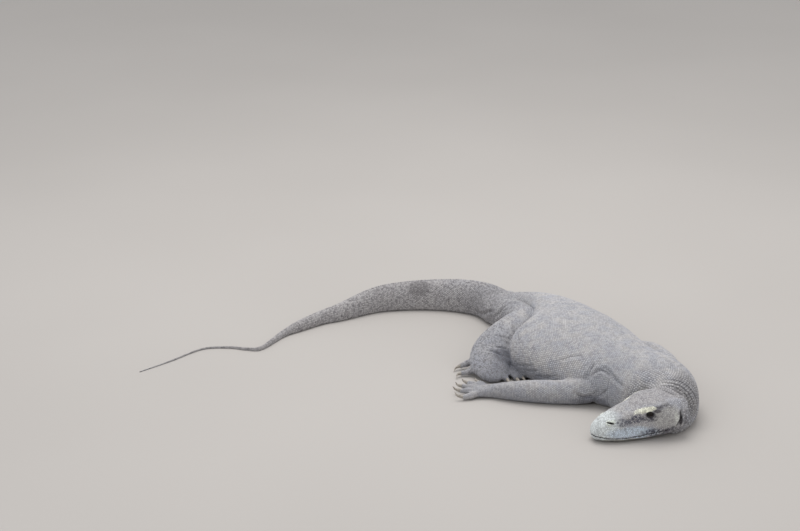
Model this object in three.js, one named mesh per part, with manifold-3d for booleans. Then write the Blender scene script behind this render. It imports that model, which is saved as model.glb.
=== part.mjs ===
// A resting Komodo dragon (Varanus komodoensis), life size, in millimetres, +Z up.
// It lies flat on its belly. Its neck is bent round to its right, so that the head points back past the
// shoulder, both arms are laid back along the sides, the right hind foot is planted beside the belly and
// the tail trails out behind.
// Trunk, neck and tail are one loft through stations on the floor plan, parted by thin gaps; each limb and
// each toe is a loft of its own, cut to fit what it grows from.
import * as THREE from "three";
import { mergeVertices } from "three/addons/utils/BufferGeometryUtils.js";
import Module from "manifold-3d";

const wasm = await Module();
wasm.setup();

// ---------------------------------------------------------------------------------------------------
// Driving dimensions, in millimetres and degrees. The plan is drawn from a point under the pelvis.
// ---------------------------------------------------------------------------------------------------
const GAP = 0.4;
const BODY_GAP = 0.007; // of the way from one station to the next
const CRUMB = 0.15; // slivers of a cut thinner than this are closed up
const DEGREE = Math.PI / 180;

const BODY_SIDES = 20;
const LIMB_SIDES = 12;
const DIGIT_SIDES = 6;
const CLAW_SIDES = 5;

// Stations of the body, from the tip of the tail to the nape: the line of the spine in plan, the reach to
// either side of it and the height of the back.
const BODY = [
  { x: -846, y: -284, left: 1.4, right: 1.4, top: 2.8 },
  { x: -784, y: -224, left: 1.9, right: 1.9, top: 4.2 },
  { x: -717, y: -152, left: 2.4, right: 2.4, top: 5.4 },
  { x: -655, y: -143, left: 3.0, right: 3.0, top: 6.6 },
  { x: -610, y: -154, left: 3.6, right: 3.6, top: 8 },
  { x: -577, y: -150, left: 4.8, right: 4.8, top: 10.5 },
  { x: -533, y: -72, left: 8, right: 8, top: 16 },
  { x: -496, y: -32, left: 12, right: 12, top: 26 },
  { x: -442, y: 18, left: 15.5, right: 15.5, top: 33 },
  { x: -396, y: 46, left: 19, right: 19, top: 42 },
  { x: -312, y: 104, left: 25, right: 25, top: 61 },
  { x: -230, y: 124, left: 29, right: 29, top: 69 },
  { x: -150, y: 124, left: 32, right: 32, top: 74 },
  { x: -85, y: 109, left: 36, right: 36, top: 78 },
  { x: -34, y: 82, left: 43, right: 43, top: 77 },
  { x: 4, y: 38, left: 54, right: 54, top: 72 },
  { x: 46, y: -20, left: 62, right: 60, top: 95 },
  { x: 93, y: -84, left: 79, right: 64, top: 113 },
  { x: 126, y: -158, left: 100, right: 88, top: 124 },
  { x: 148, y: -240, left: 117, right: 157, top: 135 },
  { x: 180, y: -318, left: 122, right: 141, top: 135 },
  { x: 220, y: -383, left: 112, right: 112, top: 127 },
  { x: 267, y: -434, left: 92, right: 92, top: 119 },
  { x: 310, y: -486, left: 86, right: 86, top: 115 },
  { x: 326, y: -534, left: 66, right: 66, top: 105 },
  { x: 317, y: -572, left: 51, right: 51, top: 92 },
  { x: 300, y: -592, left: 38, right: 38, top: 78 },
];
// Where each length of the body starts, as a station number, and how many rings it has.
const LENGTHS = [
  { name: "tail_tip", from: 0, to: 5, rings: 10 },
  { name: "tail_end", from: 5, to: 9, rings: 8 },
  { name: "tail_middle", from: 9, to: 11.5, rings: 6 },
  { name: "tail_base", from: 11.5, to: 14, rings: 6 },
  { name: "pelvis", from: 14, to: 16.5, rings: 6 },
  { name: "trunk", from: 16.5, to: 20.8, rings: 10 },
  { name: "chest", from: 20.8, to: 23, rings: 6 },
  { name: "neck", from: 23, to: 26, rings: 10 },
];

// The head, drawn along its own axis from behind the ear to the tip of the snout.
const HEAD_REAR = { x: 343, y: -577 };
const HEAD_HEADING = 199;
// Half outlines at stations along it: each point is [out to the side, up], from the crown over the brow,
// cheek, lip and jaw edge to the chin.
const HEAD = [
  { s: 0, outline: [[0, 84], [34, 78], [52, 50], [49, 26], [31, 14], [0, 8]] },
  { s: 22, outline: [[0, 86], [37, 80], [55, 50], [51, 24], [32, 11.5], [0, 6]] },
  { s: 52, outline: [[0, 88], [39, 82], [54, 48], [50, 19], [32, 7], [0, 1]] },
  { s: 84, outline: [[0, 86], [39, 80], [47, 50], [46, 15], [32, 4], [0, 0]] },
  { s: 112, outline: [[0, 77], [31, 69], [39, 46], [42, 13], [29, 2], [0, 0]] },
  { s: 140, outline: [[0, 67], [26, 59], [34, 41], [38, 12], [26, 1], [0, 0]] },
  { s: 166, outline: [[0, 58], [21, 51], [30, 36], [32, 12], [20, 1], [0, 0]] },
  { s: 186, outline: [[0, 48], [16, 42], [23, 31], [24, 13], [13, 2], [0, 0]] },
  { s: 198, outline: [[0, 38], [10, 34], [15, 26], [15, 14], [8, 6], [0, 4]] },
  { s: 203, outline: [[0, 29], [5, 27], [7, 22], [7, 16], [5, 12], [0, 11]] },
];
const HEAD_RINGS = 16;
const HEAD_SIDES = 18;
// The line between the lips, as [along, up], carried on to the back of the jaw.
const MOUTH = [[212, 16], [196, 14], [170, 11], [140, 11], [110, 14], [84, 18], [58, 22], [28, 27], [-12, 32]];
const EYE = { along: 90, out: 36, up: 62, radius: 9 };

// Limbs: centre line, half width and half thickness at stations from the root down to the knuckles.
const RIGHT_ARM = [
  { x: 238, y: -424, z: 54, wide: 36, thick: 38 },
  { x: 196, y: -450, z: 46, wide: 34, thick: 37 },
  { x: 150, y: -454, z: 32, wide: 27, thick: 31 },
  { x: 104, y: -452, z: 26, wide: 24, thick: 27 },
  { x: 66, y: -447, z: 25, wide: 24, thick: 26 },
  { x: 26, y: -440, z: 23, wide: 22, thick: 24 },
  { x: -14, y: -430, z: 19, wide: 19, thick: 20 },
  { x: -42, y: -421, z: 15, wide: 16, thick: 16 },
  { x: -62, y: -416, z: 13, wide: 20, thick: 13 },
  { x: -82, y: -411, z: 11, wide: 21, thick: 10 },
];
const LEFT_ARM = [
  { x: 308, y: -436, z: 56, wide: 34, thick: 36 },
  { x: 338, y: -400, z: 54, wide: 31, thick: 34 },
  { x: 342, y: -362, z: 52, wide: 27, thick: 30 },
  { x: 336, y: -324, z: 50, wide: 24, thick: 27 },
  { x: 326, y: -286, z: 46, wide: 24, thick: 26 },
  { x: 314, y: -250, z: 38, wide: 22, thick: 24 },
  { x: 300, y: -214, z: 28, wide: 19, thick: 20 },
  { x: 288, y: -186, z: 18, wide: 16, thick: 16 },
  { x: 281, y: -166, z: 13, wide: 20, thick: 13 },
  { x: 276, y: -146, z: 11, wide: 21, thick: 10 },
];
const RIGHT_LEG = [
  { x: 8, y: 10, z: 42, wide: 34, thick: 34 },
  { x: 14, y: -42, z: 50, wide: 40, thick: 38 },
  { x: 34, y: -90, z: 60, wide: 38, thick: 37 },
  { x: 44, y: -136, z: 66, wide: 37, thick: 34 },
  { x: 20, y: -166, z: 60, wide: 42, thick: 34 },
  { x: -10, y: -196, z: 51, wide: 42, thick: 33 },
  { x: -34, y: -228, z: 42, wide: 42, thick: 31 },
  { x: -45, y: -259, z: 34, wide: 44, thick: 27 },
  { x: -46, y: -288, z: 24, wide: 45, thick: 22 },
  { x: -42, y: -317, z: 17, wide: 40, thick: 16 },
  { x: -38, y: -340, z: 11, wide: 26, thick: 10 },
  { x: -36, y: -350, z: 8, wide: 14, thick: 6 },
];
const LEFT_LEG = [
  { x: 30, y: 26, z: 38, wide: 32, thick: 34 },
  { x: 68, y: 18, z: 34, wide: 36, thick: 33 },
  { x: 104, y: 4, z: 32, wide: 35, thick: 31 },
  { x: 126, y: 4, z: 30, wide: 31, thick: 29 },
  { x: 120, y: 38, z: 27, wide: 31, thick: 26 },
  { x: 98, y: 70, z: 24, wide: 29, thick: 23 },
  { x: 72, y: 98, z: 21, wide: 27, thick: 20 },
  { x: 50, y: 124, z: 18, wide: 28, thick: 17 },
  { x: 30, y: 146, z: 15, wide: 30, thick: 14 },
  { x: 12, y: 164, z: 12, wide: 27, thick: 11 },
];
// The station numbers of the elbow or knee and of the wrist or ankle.
const JOINT = 4;
const WRIST = 7;

// Fingers and toes from the first to the fifth, each a path from its root to its end and then two more
// points for its claw. They are measured ahead of a point in the palm or sole, to its left, and up.
const FINGERS = [
  { path: [[-14, -20, 12], [-3, -32, 13], [6, -41, 14]], claw: [[12, -47, 15], [15, -50, 20]] },
  { path: [[-4, -17, 12], [16, -27, 13], [30, -33, 14]], claw: [[38, -36, 16], [43, -37, 22]] },
  { path: [[-2, -8, 12], [22, -13, 12], [40, -15, 13]], claw: [[49, -15, 15], [54, -15, 22]] },
  { path: [[-2, 3, 12], [24, 5, 11], [42, 6, 11]], claw: [[51, 6, 14], [57, 8, 21]] },
  { path: [[-6, 13, 12], [16, 26, 9], [31, 35, 8]], claw: [[42, 37, 13], [49, 34, 20]] },
];
const SPLAYED_TOES = [
  { path: [[-34, 42, 15], [6, 57, 12], [36, 68, 9]], claw: [[46, 71, 8], [54, 74, 1.5]] },
  { path: [[-16, 32, 14], [16, 44, 12], [42, 54, 8]], claw: [[52, 58, 8], [60, 61, 1.5]] },
  { path: [[2, 20, 14], [26, 26, 12], [46, 32, 8]], claw: [[56, 35, 8], [64, 38, 1.5]] },
  { path: [[0, -26, 14], [5, -52, 11], [9, -72, 8]], claw: [[16, -80, 8], [27, -81, 1.5]] },
  { path: [[-38, -36, 20], [-33, -58, 14], [-30, -73, 9]], claw: [[-24, -82, 8], [-14, -87, 1.5]] },
];
const TOES = [
  { path: [[-12, 22, 12], [10, 32, 11], [24, 36, 8]], claw: [[33, 38, 8], [43, 39, 1.5]] },
  { path: [[-2, 12, 12], [28, 18, 11], [46, 20, 8]], claw: [[57, 21, 8], [68, 21, 1.5]] },
  { path: [[0, 1, 12], [34, 3, 11], [58, 3, 8]], claw: [[70, 3, 8], [82, 2, 1.5]] },
  { path: [[-2, -10, 12], [34, -18, 11], [64, -26, 8]], claw: [[76, -29, 8], [88, -32, 1.5]] },
  { path: [[-30, -20, 14], [-18, -33, 11], [-6, -43, 8]], claw: [[3, -50, 8], [12, -56, 1.5]] },
];
const LEVEL = 12;
const DIGIT_RADIUS = 8;
const CLAW_ROOT = 4.3;
const CLAW_POINT = 0.8;
const CLAW_SUNK = 3;
const HANDS = {
  hand_right: { x: -76, y: -412, heading: 170, side: 1, lift: 1, digits: FINGERS },
  hand_left: { x: 278, y: -152, heading: 106, side: -1, lift: 0.5, digits: FINGERS },
  foot_right: { x: -40, y: -300, heading: 270, side: 1, lift: 1, digits: SPLAYED_TOES },
  foot_left: { x: 14, y: 163, heading: 132, side: -1, lift: 1, digits: TOES },
};

// ---------------------------------------------------------------------------------------------------
// Curves and rings
// ---------------------------------------------------------------------------------------------------

// A smooth curve through a row of numbers, at t from 0 to the last index.
function through(values, t) {
  const last = values.length - 1;
  const i = Math.min(Math.floor(t), last - 1);
  const f = t - i;
  const b = values[i];
  const c = values[i + 1];
  const a = i > 0 ? values[i - 1] : 2 * b - c;
  const d = i + 2 <= last ? values[i + 2] : 2 * c - b;
  const slopeIn = (c - a) / 2;
  const slopeOut = (d - b) / 2;
  const rise = c - b;
  return b + f * (slopeIn + f * (3 * rise - 2 * slopeIn - slopeOut + f * (slopeIn + slopeOut - 2 * rise)));
}

const along = (stations, key, t) => through(stations.map((s) => s[key]), t);

// A cosine or sine for an outline: 2 is an ellipse, less is nearer a diamond, more is nearer a box.
const bulged = (value, power) => Math.sign(value) * Math.abs(value) ** (2 / power);

// A closed solid from rings of points that all go round the same way, with both ends capped. What would
// be below the floor is flattened onto it.
function skinOf(rings) {
  const positions = [];
  const index = [];
  const sides = rings[0].length;
  for (const ring of rings) for (const p of ring) positions.push(p.x, p.y, Math.max(p.z, 0));
  for (let r = 0; r + 1 < rings.length; r++)
    for (let k = 0; k < sides; k++) {
      const a = r * sides + k;
      const b = r * sides + ((k + 1) % sides);
      index.push(a, b, b + sides, a, b + sides, a + sides);
    }
  for (const ring of [0, rings.length - 1]) {
    const middle = new THREE.Vector3();
    for (const p of rings[ring]) middle.addScaledVector(p.clone().setZ(Math.max(p.z, 0)), 1 / sides);
    const apex = positions.length / 3;
    positions.push(middle.x, middle.y, middle.z);
    for (let k = 0; k < sides; k++) {
      const a = ring * sides + k;
      const b = ring * sides + ((k + 1) % sides);
      index.push(...(ring === 0 ? [b, a, apex] : [a, b, apex]));
    }
  }
  return new THREE.BufferGeometry()
    .setAttribute("position", new THREE.Float32BufferAttribute(positions, 3))
    .setIndex(index);
}

// ---------------------------------------------------------------------------------------------------
// Solids and cuts
// ---------------------------------------------------------------------------------------------------

function solidOf(geometry) {
  const merged = mergeVertices(geometry, 1e-4);
  const mesh = new wasm.Mesh({
    numProp: 3,
    vertProperties: merged.attributes.position.array,
    triVerts: new Uint32Array(merged.index.array),
  });
  const solid = new wasm.Manifold(mesh);
  return solid.volume() < 0 ? insideOut(geometry) : solid;
}

// The same solid with its faces turned round.
function insideOut(geometry) {
  const turned = geometry.clone();
  const order = turned.index.array;
  for (let i = 0; i < order.length; i += 3) [order[i + 1], order[i + 2]] = [order[i + 2], order[i + 1]];
  return solidOf(turned);
}

function geometryOf(solid) {
  const mesh = solid.getMesh();
  return new THREE.BufferGeometry()
    .setAttribute("position", new THREE.Float32BufferAttribute(mesh.vertProperties, 3))
    .setIndex(new THREE.Uint32BufferAttribute(mesh.triVerts, 1));
}

// A solid through rings that may cross one another where it bends: the hulls of neighbours, joined, and
// cut off level with the floor.
function chainOf(rings) {
  const points = rings.map((ring) => ring.map((p) => p.toArray()));
  const links = points.slice(1).map((ring, r) => wasm.Manifold.hull([...points[r], ...ring]));
  return wasm.Manifold.union(links).trimByPlane([0, 0, 1], 0);
}

const bySize = (pieces) => pieces.sort((a, b) => b.volume() - a.volume());

// What a cut leaves, without its slivers and loose crumbs.
const tidied = (solid) => bySize(solid.simplify(CRUMB).decompose())[0];

// ---------------------------------------------------------------------------------------------------
// Body
// ---------------------------------------------------------------------------------------------------

function bodyRing(t, grow) {
  const last = BODY.length - 1;
  const step = 0.02;
  const at = (u) => new THREE.Vector3(along(BODY, "x", u), along(BODY, "y", u), 0);
  const ahead = at(Math.min(t + step, last)).sub(at(Math.max(t - step, 0))).normalize();
  const left = new THREE.Vector3(-ahead.y, ahead.x, 0);
  const reaches = [along(BODY, "right", t) + grow, along(BODY, "left", t) + grow];
  const top = along(BODY, "top", t) + grow;
  const widest = 0.42 * top;
  const ring = [];
  for (let k = 0; k < BODY_SIDES; k++) {
    const angle = (2 * Math.PI * k) / BODY_SIDES;
    const above = Math.sin(angle) > 0;
    const rise = above ? top - widest : 1.1 * widest;
    const z = widest + bulged(Math.sin(angle), above ? 1.9 : 3.6) * rise;
    const out = bulged(Math.cos(angle), above ? 2.2 : 3.6) * reaches[Math.cos(angle) > 0 ? 1 : 0];
    ring.push(at(t).addScaledVector(left, out).setZ(z));
  }
  return ring;
}

// One length of the body, or the same grown all round, with its joint to the next one filled.
function bodyLength({ name, from, to, rings }, grow = 0) {
  const all = [];
  for (let r = 0; r < rings; r++) all.push(bodyRing(from + ((to - from) * r) / rings, grow));
  all.push(bodyRing(Math.min(to + (grow ? BODY_GAP : -BODY_GAP), BODY.length - 1), grow));
  return name === "neck" ? chainOf(all) : solidOf(skinOf(all));
}

// ---------------------------------------------------------------------------------------------------
// Head
// ---------------------------------------------------------------------------------------------------

const headFrame = new THREE.Matrix4()
  .makeTranslation(HEAD_REAR.x, HEAD_REAR.y, 0)
  .multiply(new THREE.Matrix4().makeRotationZ(HEAD_HEADING * DEGREE));

const onHead = (alongHead, toLeft, up) => new THREE.Vector3(alongHead, toLeft, up).applyMatrix4(headFrame);

function headRing(t, grow) {
  const s = along(HEAD, "s", t);
  const corners = HEAD[0].outline.length;
  const half = [];
  for (let c = 0; c < corners; c++)
    half.push([0, 1].map((axis) => through(HEAD.map((station) => station.outline[c][axis]), t)));
  const ring = [];
  for (let k = 0; k < HEAD_SIDES; k++) {
    const round = (2 * k) / HEAD_SIDES;
    const onLeft = round <= 1;
    const u = (onLeft ? round : 2 - round) * (corners - 1);
    const out = Math.max(through(half.map((p) => p[0]), u), 0);
    const up = through(half.map((p) => p[1]), u);
    const swell = 1 + grow / 25;
    const middle = 35;
    ring.push(onHead(s - grow, (onLeft ? out : -out) * swell, middle + (up - middle) * swell));
  }
  return ring;
}

function headSolid(grow = 0) {
  const rings = [];
  for (let r = 0; r <= HEAD_RINGS; r++) rings.push(headRing(((HEAD.length - 1) * r) / HEAD_RINGS, grow));
  return solidOf(skinOf(rings));
}

// A thin curved sheet along the line of the mouth, right across the head.
function mouthCut() {
  const outline = new THREE.Shape();
  MOUTH.forEach(([s, up], i) => (i ? outline.lineTo(s, up + GAP / 2) : outline.moveTo(s, up + GAP / 2)));
  for (const [s, up] of [...MOUTH].reverse()) outline.lineTo(s, up - GAP / 2);
  const across = 200;
  const sheet = new THREE.ExtrudeGeometry(outline, { depth: across, bevelEnabled: false });
  sheet.deleteAttribute("normal");
  sheet.deleteAttribute("uv");
  sheet.rotateX(Math.PI / 2);
  sheet.translate(0, across / 2, 0);
  return solidOf(sheet.applyMatrix4(headFrame));
}

function eyeBall(side, grow = 0) {
  const ball = new THREE.SphereGeometry(EYE.radius + grow, 10, 7);
  ball.deleteAttribute("normal");
  ball.deleteAttribute("uv");
  const at = onHead(EYE.along, side * EYE.out, EYE.up);
  return solidOf(ball.translate(at.x, at.y, at.z));
}

// ---------------------------------------------------------------------------------------------------
// Limbs
// ---------------------------------------------------------------------------------------------------

function limbRing(limb, t, sides = LIMB_SIDES, grow = 0) {
  const last = limb.length - 1;
  const step = 0.05;
  const at = (u) => new THREE.Vector3(along(limb, "x", u), along(limb, "y", u), along(limb, "z", u));
  const ahead = at(Math.min(t + step, last)).sub(at(Math.max(t - step, 0))).normalize();
  const left = new THREE.Vector3(-ahead.y, ahead.x, 0).normalize();
  const up = ahead.clone().cross(left);
  const ring = [];
  for (let k = 0; k < sides; k++) {
    const angle = (2 * Math.PI * k) / sides;
    const p = at(t).addScaledVector(left, bulged(Math.cos(angle), 2.2) * (along(limb, "wide", t) + grow));
    ring.push(p.addScaledVector(up, bulged(Math.sin(angle), 2.2) * (along(limb, "thick", t) + grow)));
  }
  return ring;
}

function limbLength(limb, from, to, rings, grow = 0) {
  const all = [];
  for (let r = 0; r <= rings; r++)
    all.push(limbRing(limb, from + ((to - from) * r) / rings, LIMB_SIDES, grow));
  return chainOf(all);
}

// A point of a hand or foot in the plan of the whole animal.
function onHand(hand, [ahead, toLeft, up]) {
  const turn = hand.heading * DEGREE;
  const out = toLeft * hand.side;
  return {
    x: hand.x + ahead * Math.cos(turn) - out * Math.sin(turn),
    y: hand.y + ahead * Math.sin(turn) + out * Math.cos(turn),
    z: up > LEVEL ? LEVEL + (up - LEVEL) * hand.lift : up,
  };
}

function digitSolid(hand, { path }) {
  const stations = path.map((p, i) => {
    const radius = DIGIT_RADIUS * [1.05, 1, 0.78][i];
    return { ...onHand(hand, p), wide: radius, thick: radius };
  });
  return chainOf([0, 0.7, 1.4, 2].map((t) => limbRing(stations, t, DIGIT_SIDES)));
}

// A claw springs from inside the end of its digit.
function clawSolid(hand, { path, claw }, grow = 0) {
  const end = new THREE.Vector3(...path[2]);
  const back = new THREE.Vector3(...path[1]).sub(end).setLength(CLAW_SUNK + grow);
  const stations = [end.add(back).toArray(), ...claw].map((p, i) => {
    const radius = CLAW_ROOT + ((CLAW_POINT - CLAW_ROOT) * i) / 2 + grow;
    return { ...onHand(hand, p), wide: radius * 0.75, thick: radius };
  });
  return chainOf([0, 0.7, 1.4, 2].map((t) => limbRing(stations, t, CLAW_SIDES)));
}

// ---------------------------------------------------------------------------------------------------
// Assembly
// ---------------------------------------------------------------------------------------------------

const hide = new THREE.MeshStandardMaterial({ color: 0x9a9ba2, roughness: 0.92, metalness: 0 });
const horn = new THREE.MeshStandardMaterial({ color: 0x4a453f, roughness: 0.5, metalness: 0 });
const cornea = new THREE.MeshStandardMaterial({ color: 0x1c1713, roughness: 0.08, metalness: 0 });

const dragon = new THREE.Group();
function add(name, solid, material = hide) {
  const mesh = new THREE.Mesh(geometryOf(tidied(solid)), material);
  mesh.name = name;
  dragon.add(mesh);
}

const grownHead = headSolid(GAP);
for (const length of LENGTHS) {
  const solid = bodyLength(length);
  add(length.name, length.name === "neck" ? solid.subtract(grownHead) : solid);
}

const [skull, jaw] = bySize(headSolid().subtract(mouthCut()).decompose());
add("head", skull.subtract(eyeBall(1, GAP)).subtract(eyeBall(-1, GAP)));
add("lower_jaw", jaw);
add("eye_left", eyeBall(1), cornea);
add("eye_right", eyeBall(-1), cornea);

const grownBody = LENGTHS.slice(2)
  .map((length) => bodyLength(length, 2 * GAP))
  .reduce((whole, length) => whole.add(length));
const names = { arm: ["upper_arm", "forearm", "hand"], leg: ["thigh", "shank", "foot"] };
for (const [side, kind, limb] of [
  ["right", "arm", RIGHT_ARM],
  ["left", "arm", LEFT_ARM],
  ["right", "leg", RIGHT_LEG],
  ["left", "leg", LEFT_LEG],
]) {
  const [upper, lower, end] = names[kind].map((part) => part + "_" + side);
  const fitted = (solid) => solid.subtract(grownBody).subtract(grownHead);
  const last = limb.length - 1;
  const grownLower = limbLength(limb, JOINT - 0.01, WRIST, 5, GAP);
  const grownEnd = limbLength(limb, WRIST - 0.015, last, 4, GAP);
  add(upper, fitted(limbLength(limb, 0, JOINT, 5).subtract(grownLower)));
  add(lower, fitted(limbLength(limb, JOINT, WRIST, 5).subtract(grownEnd)));
  const hand = HANDS[end];
  let palm = limbLength(limb, WRIST, last, 4);
  for (const digit of hand.digits) palm = palm.add(digitSolid(hand, digit));
  for (const digit of hand.digits) palm = palm.subtract(clawSolid(hand, digit, GAP));
  add(end, fitted(palm));
  hand.digits.forEach((digit, i) => add("claw_" + end + "_" + (i + 1), clawSolid(hand, digit), horn));
}

// The origin is on the floor under the middle of the whole.
const box = new THREE.Box3().setFromObject(dragon);
const middle = box.getCenter(new THREE.Vector3()).setZ(box.min.z);
for (const mesh of dragon.children) mesh.geometry.translate(-middle.x, -middle.y, -middle.z);

export default dragon;
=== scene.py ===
"""A resting Komodo dragon in life size: one skin over the whole body, and a coat of solid scales on it.

The body is drawn in plan, in millimetres, from a point under the pelvis, with the stations that the CAD
has: trunk, limbs and toes are lofts, joined into one skin, which is then folded and carved. Scales are laid
on it in rings, as on the real animal, and each one is cut to fit its neighbours.
"""

import math

import bmesh
import bpy
import numpy as np
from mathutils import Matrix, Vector
from mathutils.bvhtree import BVHTree
from mathutils.kdtree import KDTree


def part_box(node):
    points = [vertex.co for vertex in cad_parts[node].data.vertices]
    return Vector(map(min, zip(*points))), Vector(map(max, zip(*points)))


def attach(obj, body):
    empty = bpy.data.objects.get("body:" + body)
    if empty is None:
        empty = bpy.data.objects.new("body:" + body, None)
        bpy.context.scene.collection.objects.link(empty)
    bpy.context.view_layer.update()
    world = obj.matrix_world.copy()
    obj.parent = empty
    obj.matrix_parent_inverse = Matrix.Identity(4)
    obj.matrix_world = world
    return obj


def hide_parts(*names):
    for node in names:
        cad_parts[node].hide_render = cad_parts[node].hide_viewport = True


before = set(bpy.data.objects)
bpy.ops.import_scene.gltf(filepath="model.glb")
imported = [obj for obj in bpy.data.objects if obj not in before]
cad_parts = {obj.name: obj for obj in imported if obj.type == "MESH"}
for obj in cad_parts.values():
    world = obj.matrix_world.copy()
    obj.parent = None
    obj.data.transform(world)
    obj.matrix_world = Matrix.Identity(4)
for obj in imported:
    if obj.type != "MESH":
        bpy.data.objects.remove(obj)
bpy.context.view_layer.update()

MM = 0.001
UP = np.array([0.0, 0.0, 1.0])
CAMERA = {"place": (-250.2, -3965.2, 1600), "pitch": 20, "focal_px": 1750, "width_px": 800}

# ---- Sizes, in millimetres and degrees ----

# The body from the tip of the tail to the nape: x, y, reach to its left, reach to its right, height.
BODY = [
    (-846, -284, 1.4, 1.4, 2.8),
    (-784, -224, 1.9, 1.9, 4.2),
    (-717, -152, 2.4, 2.4, 5.4),
    (-655, -143, 3.0, 3.0, 6.6),
    (-610, -154, 3.6, 3.6, 8),
    (-577, -150, 4.8, 4.8, 10.5),
    (-533, -72, 8, 8, 16),
    (-496, -32, 12, 12, 26),
    (-442, 18, 15.5, 15.5, 33),
    (-396, 46, 19, 19, 42),
    (-312, 104, 25, 25, 61),
    (-230, 124, 29, 29, 69),
    (-150, 124, 32, 32, 74),
    (-85, 109, 36, 36, 78),
    (-34, 82, 43, 43, 77),
    (4, 38, 54, 54, 72),
    (46, -20, 62, 60, 95),
    (93, -84, 79, 64, 113),
    (126, -158, 100, 88, 124),
    (148, -240, 117, 157, 135),
    (180, -318, 122, 141, 135),
    (220, -383, 112, 112, 127),
    (267, -434, 92, 92, 119),
    (310, -486, 86, 86, 115),
    (326, -534, 66, 66, 105),
    (317, -572, 51, 51, 92),
    (300, -592, 38, 38, 78),
]
THIN_TAIL_END = 6.2  # up to this station the tail is a loft of its own, too thin to be remeshed
THICK_TAIL_START = 5.6  # and from this one it is part of the remeshed skin
WIDEST_SHARE = 0.42  # the body is widest at this share of its height
BELLY_SHARE = 1.1  # and its belly would come down by this share of that height, if the floor didn't cut it

# The head from behind the ear to the tip of the snout: station, then half an outline as (out, up) pairs
# from the crown over the brow, cheek, lip and jaw edge to the chin.
HEAD_REAR = (343, -577)
HEAD_HEADING = 199
HEAD = [
    (0, [(0, 84), (34, 78), (52, 50), (49, 26), (31, 14), (0, 8)]),
    (22, [(0, 86), (37, 80), (55, 50), (51, 24), (32, 11.5), (0, 6)]),
    (52, [(0, 88), (39, 82), (54, 48), (50, 19), (32, 7), (0, 1)]),
    (84, [(0, 86), (39, 80), (47, 50), (46, 15), (32, 4), (0, 0)]),
    (112, [(0, 77), (31, 69), (39, 46), (42, 13), (29, 2), (0, 0)]),
    (140, [(0, 67), (26, 59), (34, 41), (38, 12), (26, 1), (0, 0)]),
    (166, [(0, 58), (21, 51), (30, 36), (32, 12), (20, 1), (0, 0)]),
    (186, [(0, 48), (16, 42), (23, 31), (24, 13), (13, 2), (0, 0)]),
    (198, [(0, 38), (10, 34), (15, 26), (15, 14), (8, 6), (0, 4)]),
    (203, [(0, 29), (5, 27), (7, 22), (7, 16), (5, 12), (0, 11)]),
]
MOUTH = [(212, 16), (196, 14), (170, 11), (140, 11), (110, 14), (84, 18), (58, 22), (44, 25)]
HEAD_MIDDLE, HEAD_RADIUS = 35, 25  # about this height and by this radius the head shrinks to its skin
EYE = {"along": 90, "out": 36, "up": 62, "radius": 9}
LID = {"thickness": 1.2, "full": 10.5, "fades": 17, "reach": 24}
SLIT = {"half_length": 8.0, "half_height": 4.3, "power": 1.7, "below": 0.3, "depth": 2.6}

# Limbs from the root to the knuckles: x, y, z, half width and half thickness.
RIGHT_ARM = [
    (238, -424, 54, 36, 38),
    (196, -450, 46, 34, 37),
    (150, -454, 32, 27, 31),
    (104, -452, 26, 24, 27),
    (66, -447, 25, 24, 26),
    (26, -440, 23, 22, 24),
    (-14, -430, 19, 19, 20),
    (-42, -421, 15, 16, 16),
    (-62, -416, 13, 20, 13),
    (-82, -411, 11, 21, 10),
]
LEFT_ARM = [
    (308, -436, 56, 34, 36),
    (338, -400, 54, 31, 34),
    (342, -362, 52, 27, 30),
    (336, -324, 50, 24, 27),
    (326, -286, 46, 24, 26),
    (314, -250, 38, 22, 24),
    (300, -214, 28, 19, 20),
    (288, -186, 18, 16, 16),
    (281, -166, 13, 20, 13),
    (276, -146, 11, 21, 10),
]
RIGHT_LEG = [
    (8, 10, 42, 34, 34),
    (14, -42, 50, 40, 38),
    (34, -90, 60, 38, 37),
    (44, -136, 66, 37, 34),
    (20, -166, 60, 42, 34),
    (-10, -196, 51, 42, 33),
    (-34, -228, 42, 42, 31),
    (-45, -259, 34, 44, 27),
    (-46, -288, 24, 45, 22),
    (-42, -317, 17, 40, 16),
    (-38, -340, 11, 26, 10),
    (-36, -350, 8, 14, 6),
]
LEFT_LEG = [
    (30, 26, 38, 32, 34),
    (68, 18, 34, 36, 33),
    (104, 4, 32, 35, 31),
    (126, 4, 30, 31, 29),
    (120, 38, 27, 31, 26),
    (98, 70, 24, 29, 23),
    (72, 98, 21, 27, 20),
    (50, 124, 18, 28, 17),
    (30, 146, 15, 30, 14),
    (12, 164, 12, 27, 11),
]

# Fingers and toes from the first to the fifth: three points of the digit, then two of its claw, each
# ahead of a point in the palm or sole, to its left, and up.
FINGERS = [
    [(-14, -20, 12), (-3, -32, 13), (6, -41, 14), (12, -47, 15), (15, -50, 20)],
    [(-4, -17, 12), (16, -27, 13), (30, -33, 14), (38, -36, 16), (43, -37, 22)],
    [(-2, -8, 12), (22, -13, 12), (40, -15, 13), (49, -15, 15), (54, -15, 22)],
    [(-2, 3, 12), (24, 5, 11), (42, 6, 11), (51, 6, 14), (57, 8, 21)],
    [(-6, 13, 12), (16, 26, 9), (31, 35, 8), (42, 37, 13), (49, 34, 20)],
]
SPLAYED_TOES = [
    [(-34, 42, 15), (6, 57, 12), (36, 68, 9), (46, 71, 8), (54, 74, 1.5)],
    [(-16, 32, 14), (16, 44, 12), (42, 54, 8), (52, 58, 8), (60, 61, 1.5)],
    [(2, 20, 14), (26, 26, 12), (46, 32, 8), (56, 35, 8), (64, 38, 1.5)],
    [(0, -26, 14), (5, -52, 11), (9, -72, 8), (16, -80, 8), (27, -81, 1.5)],
    [(-38, -36, 20), (-33, -58, 14), (-30, -73, 9), (-24, -82, 8), (-14, -87, 1.5)],
]
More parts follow.
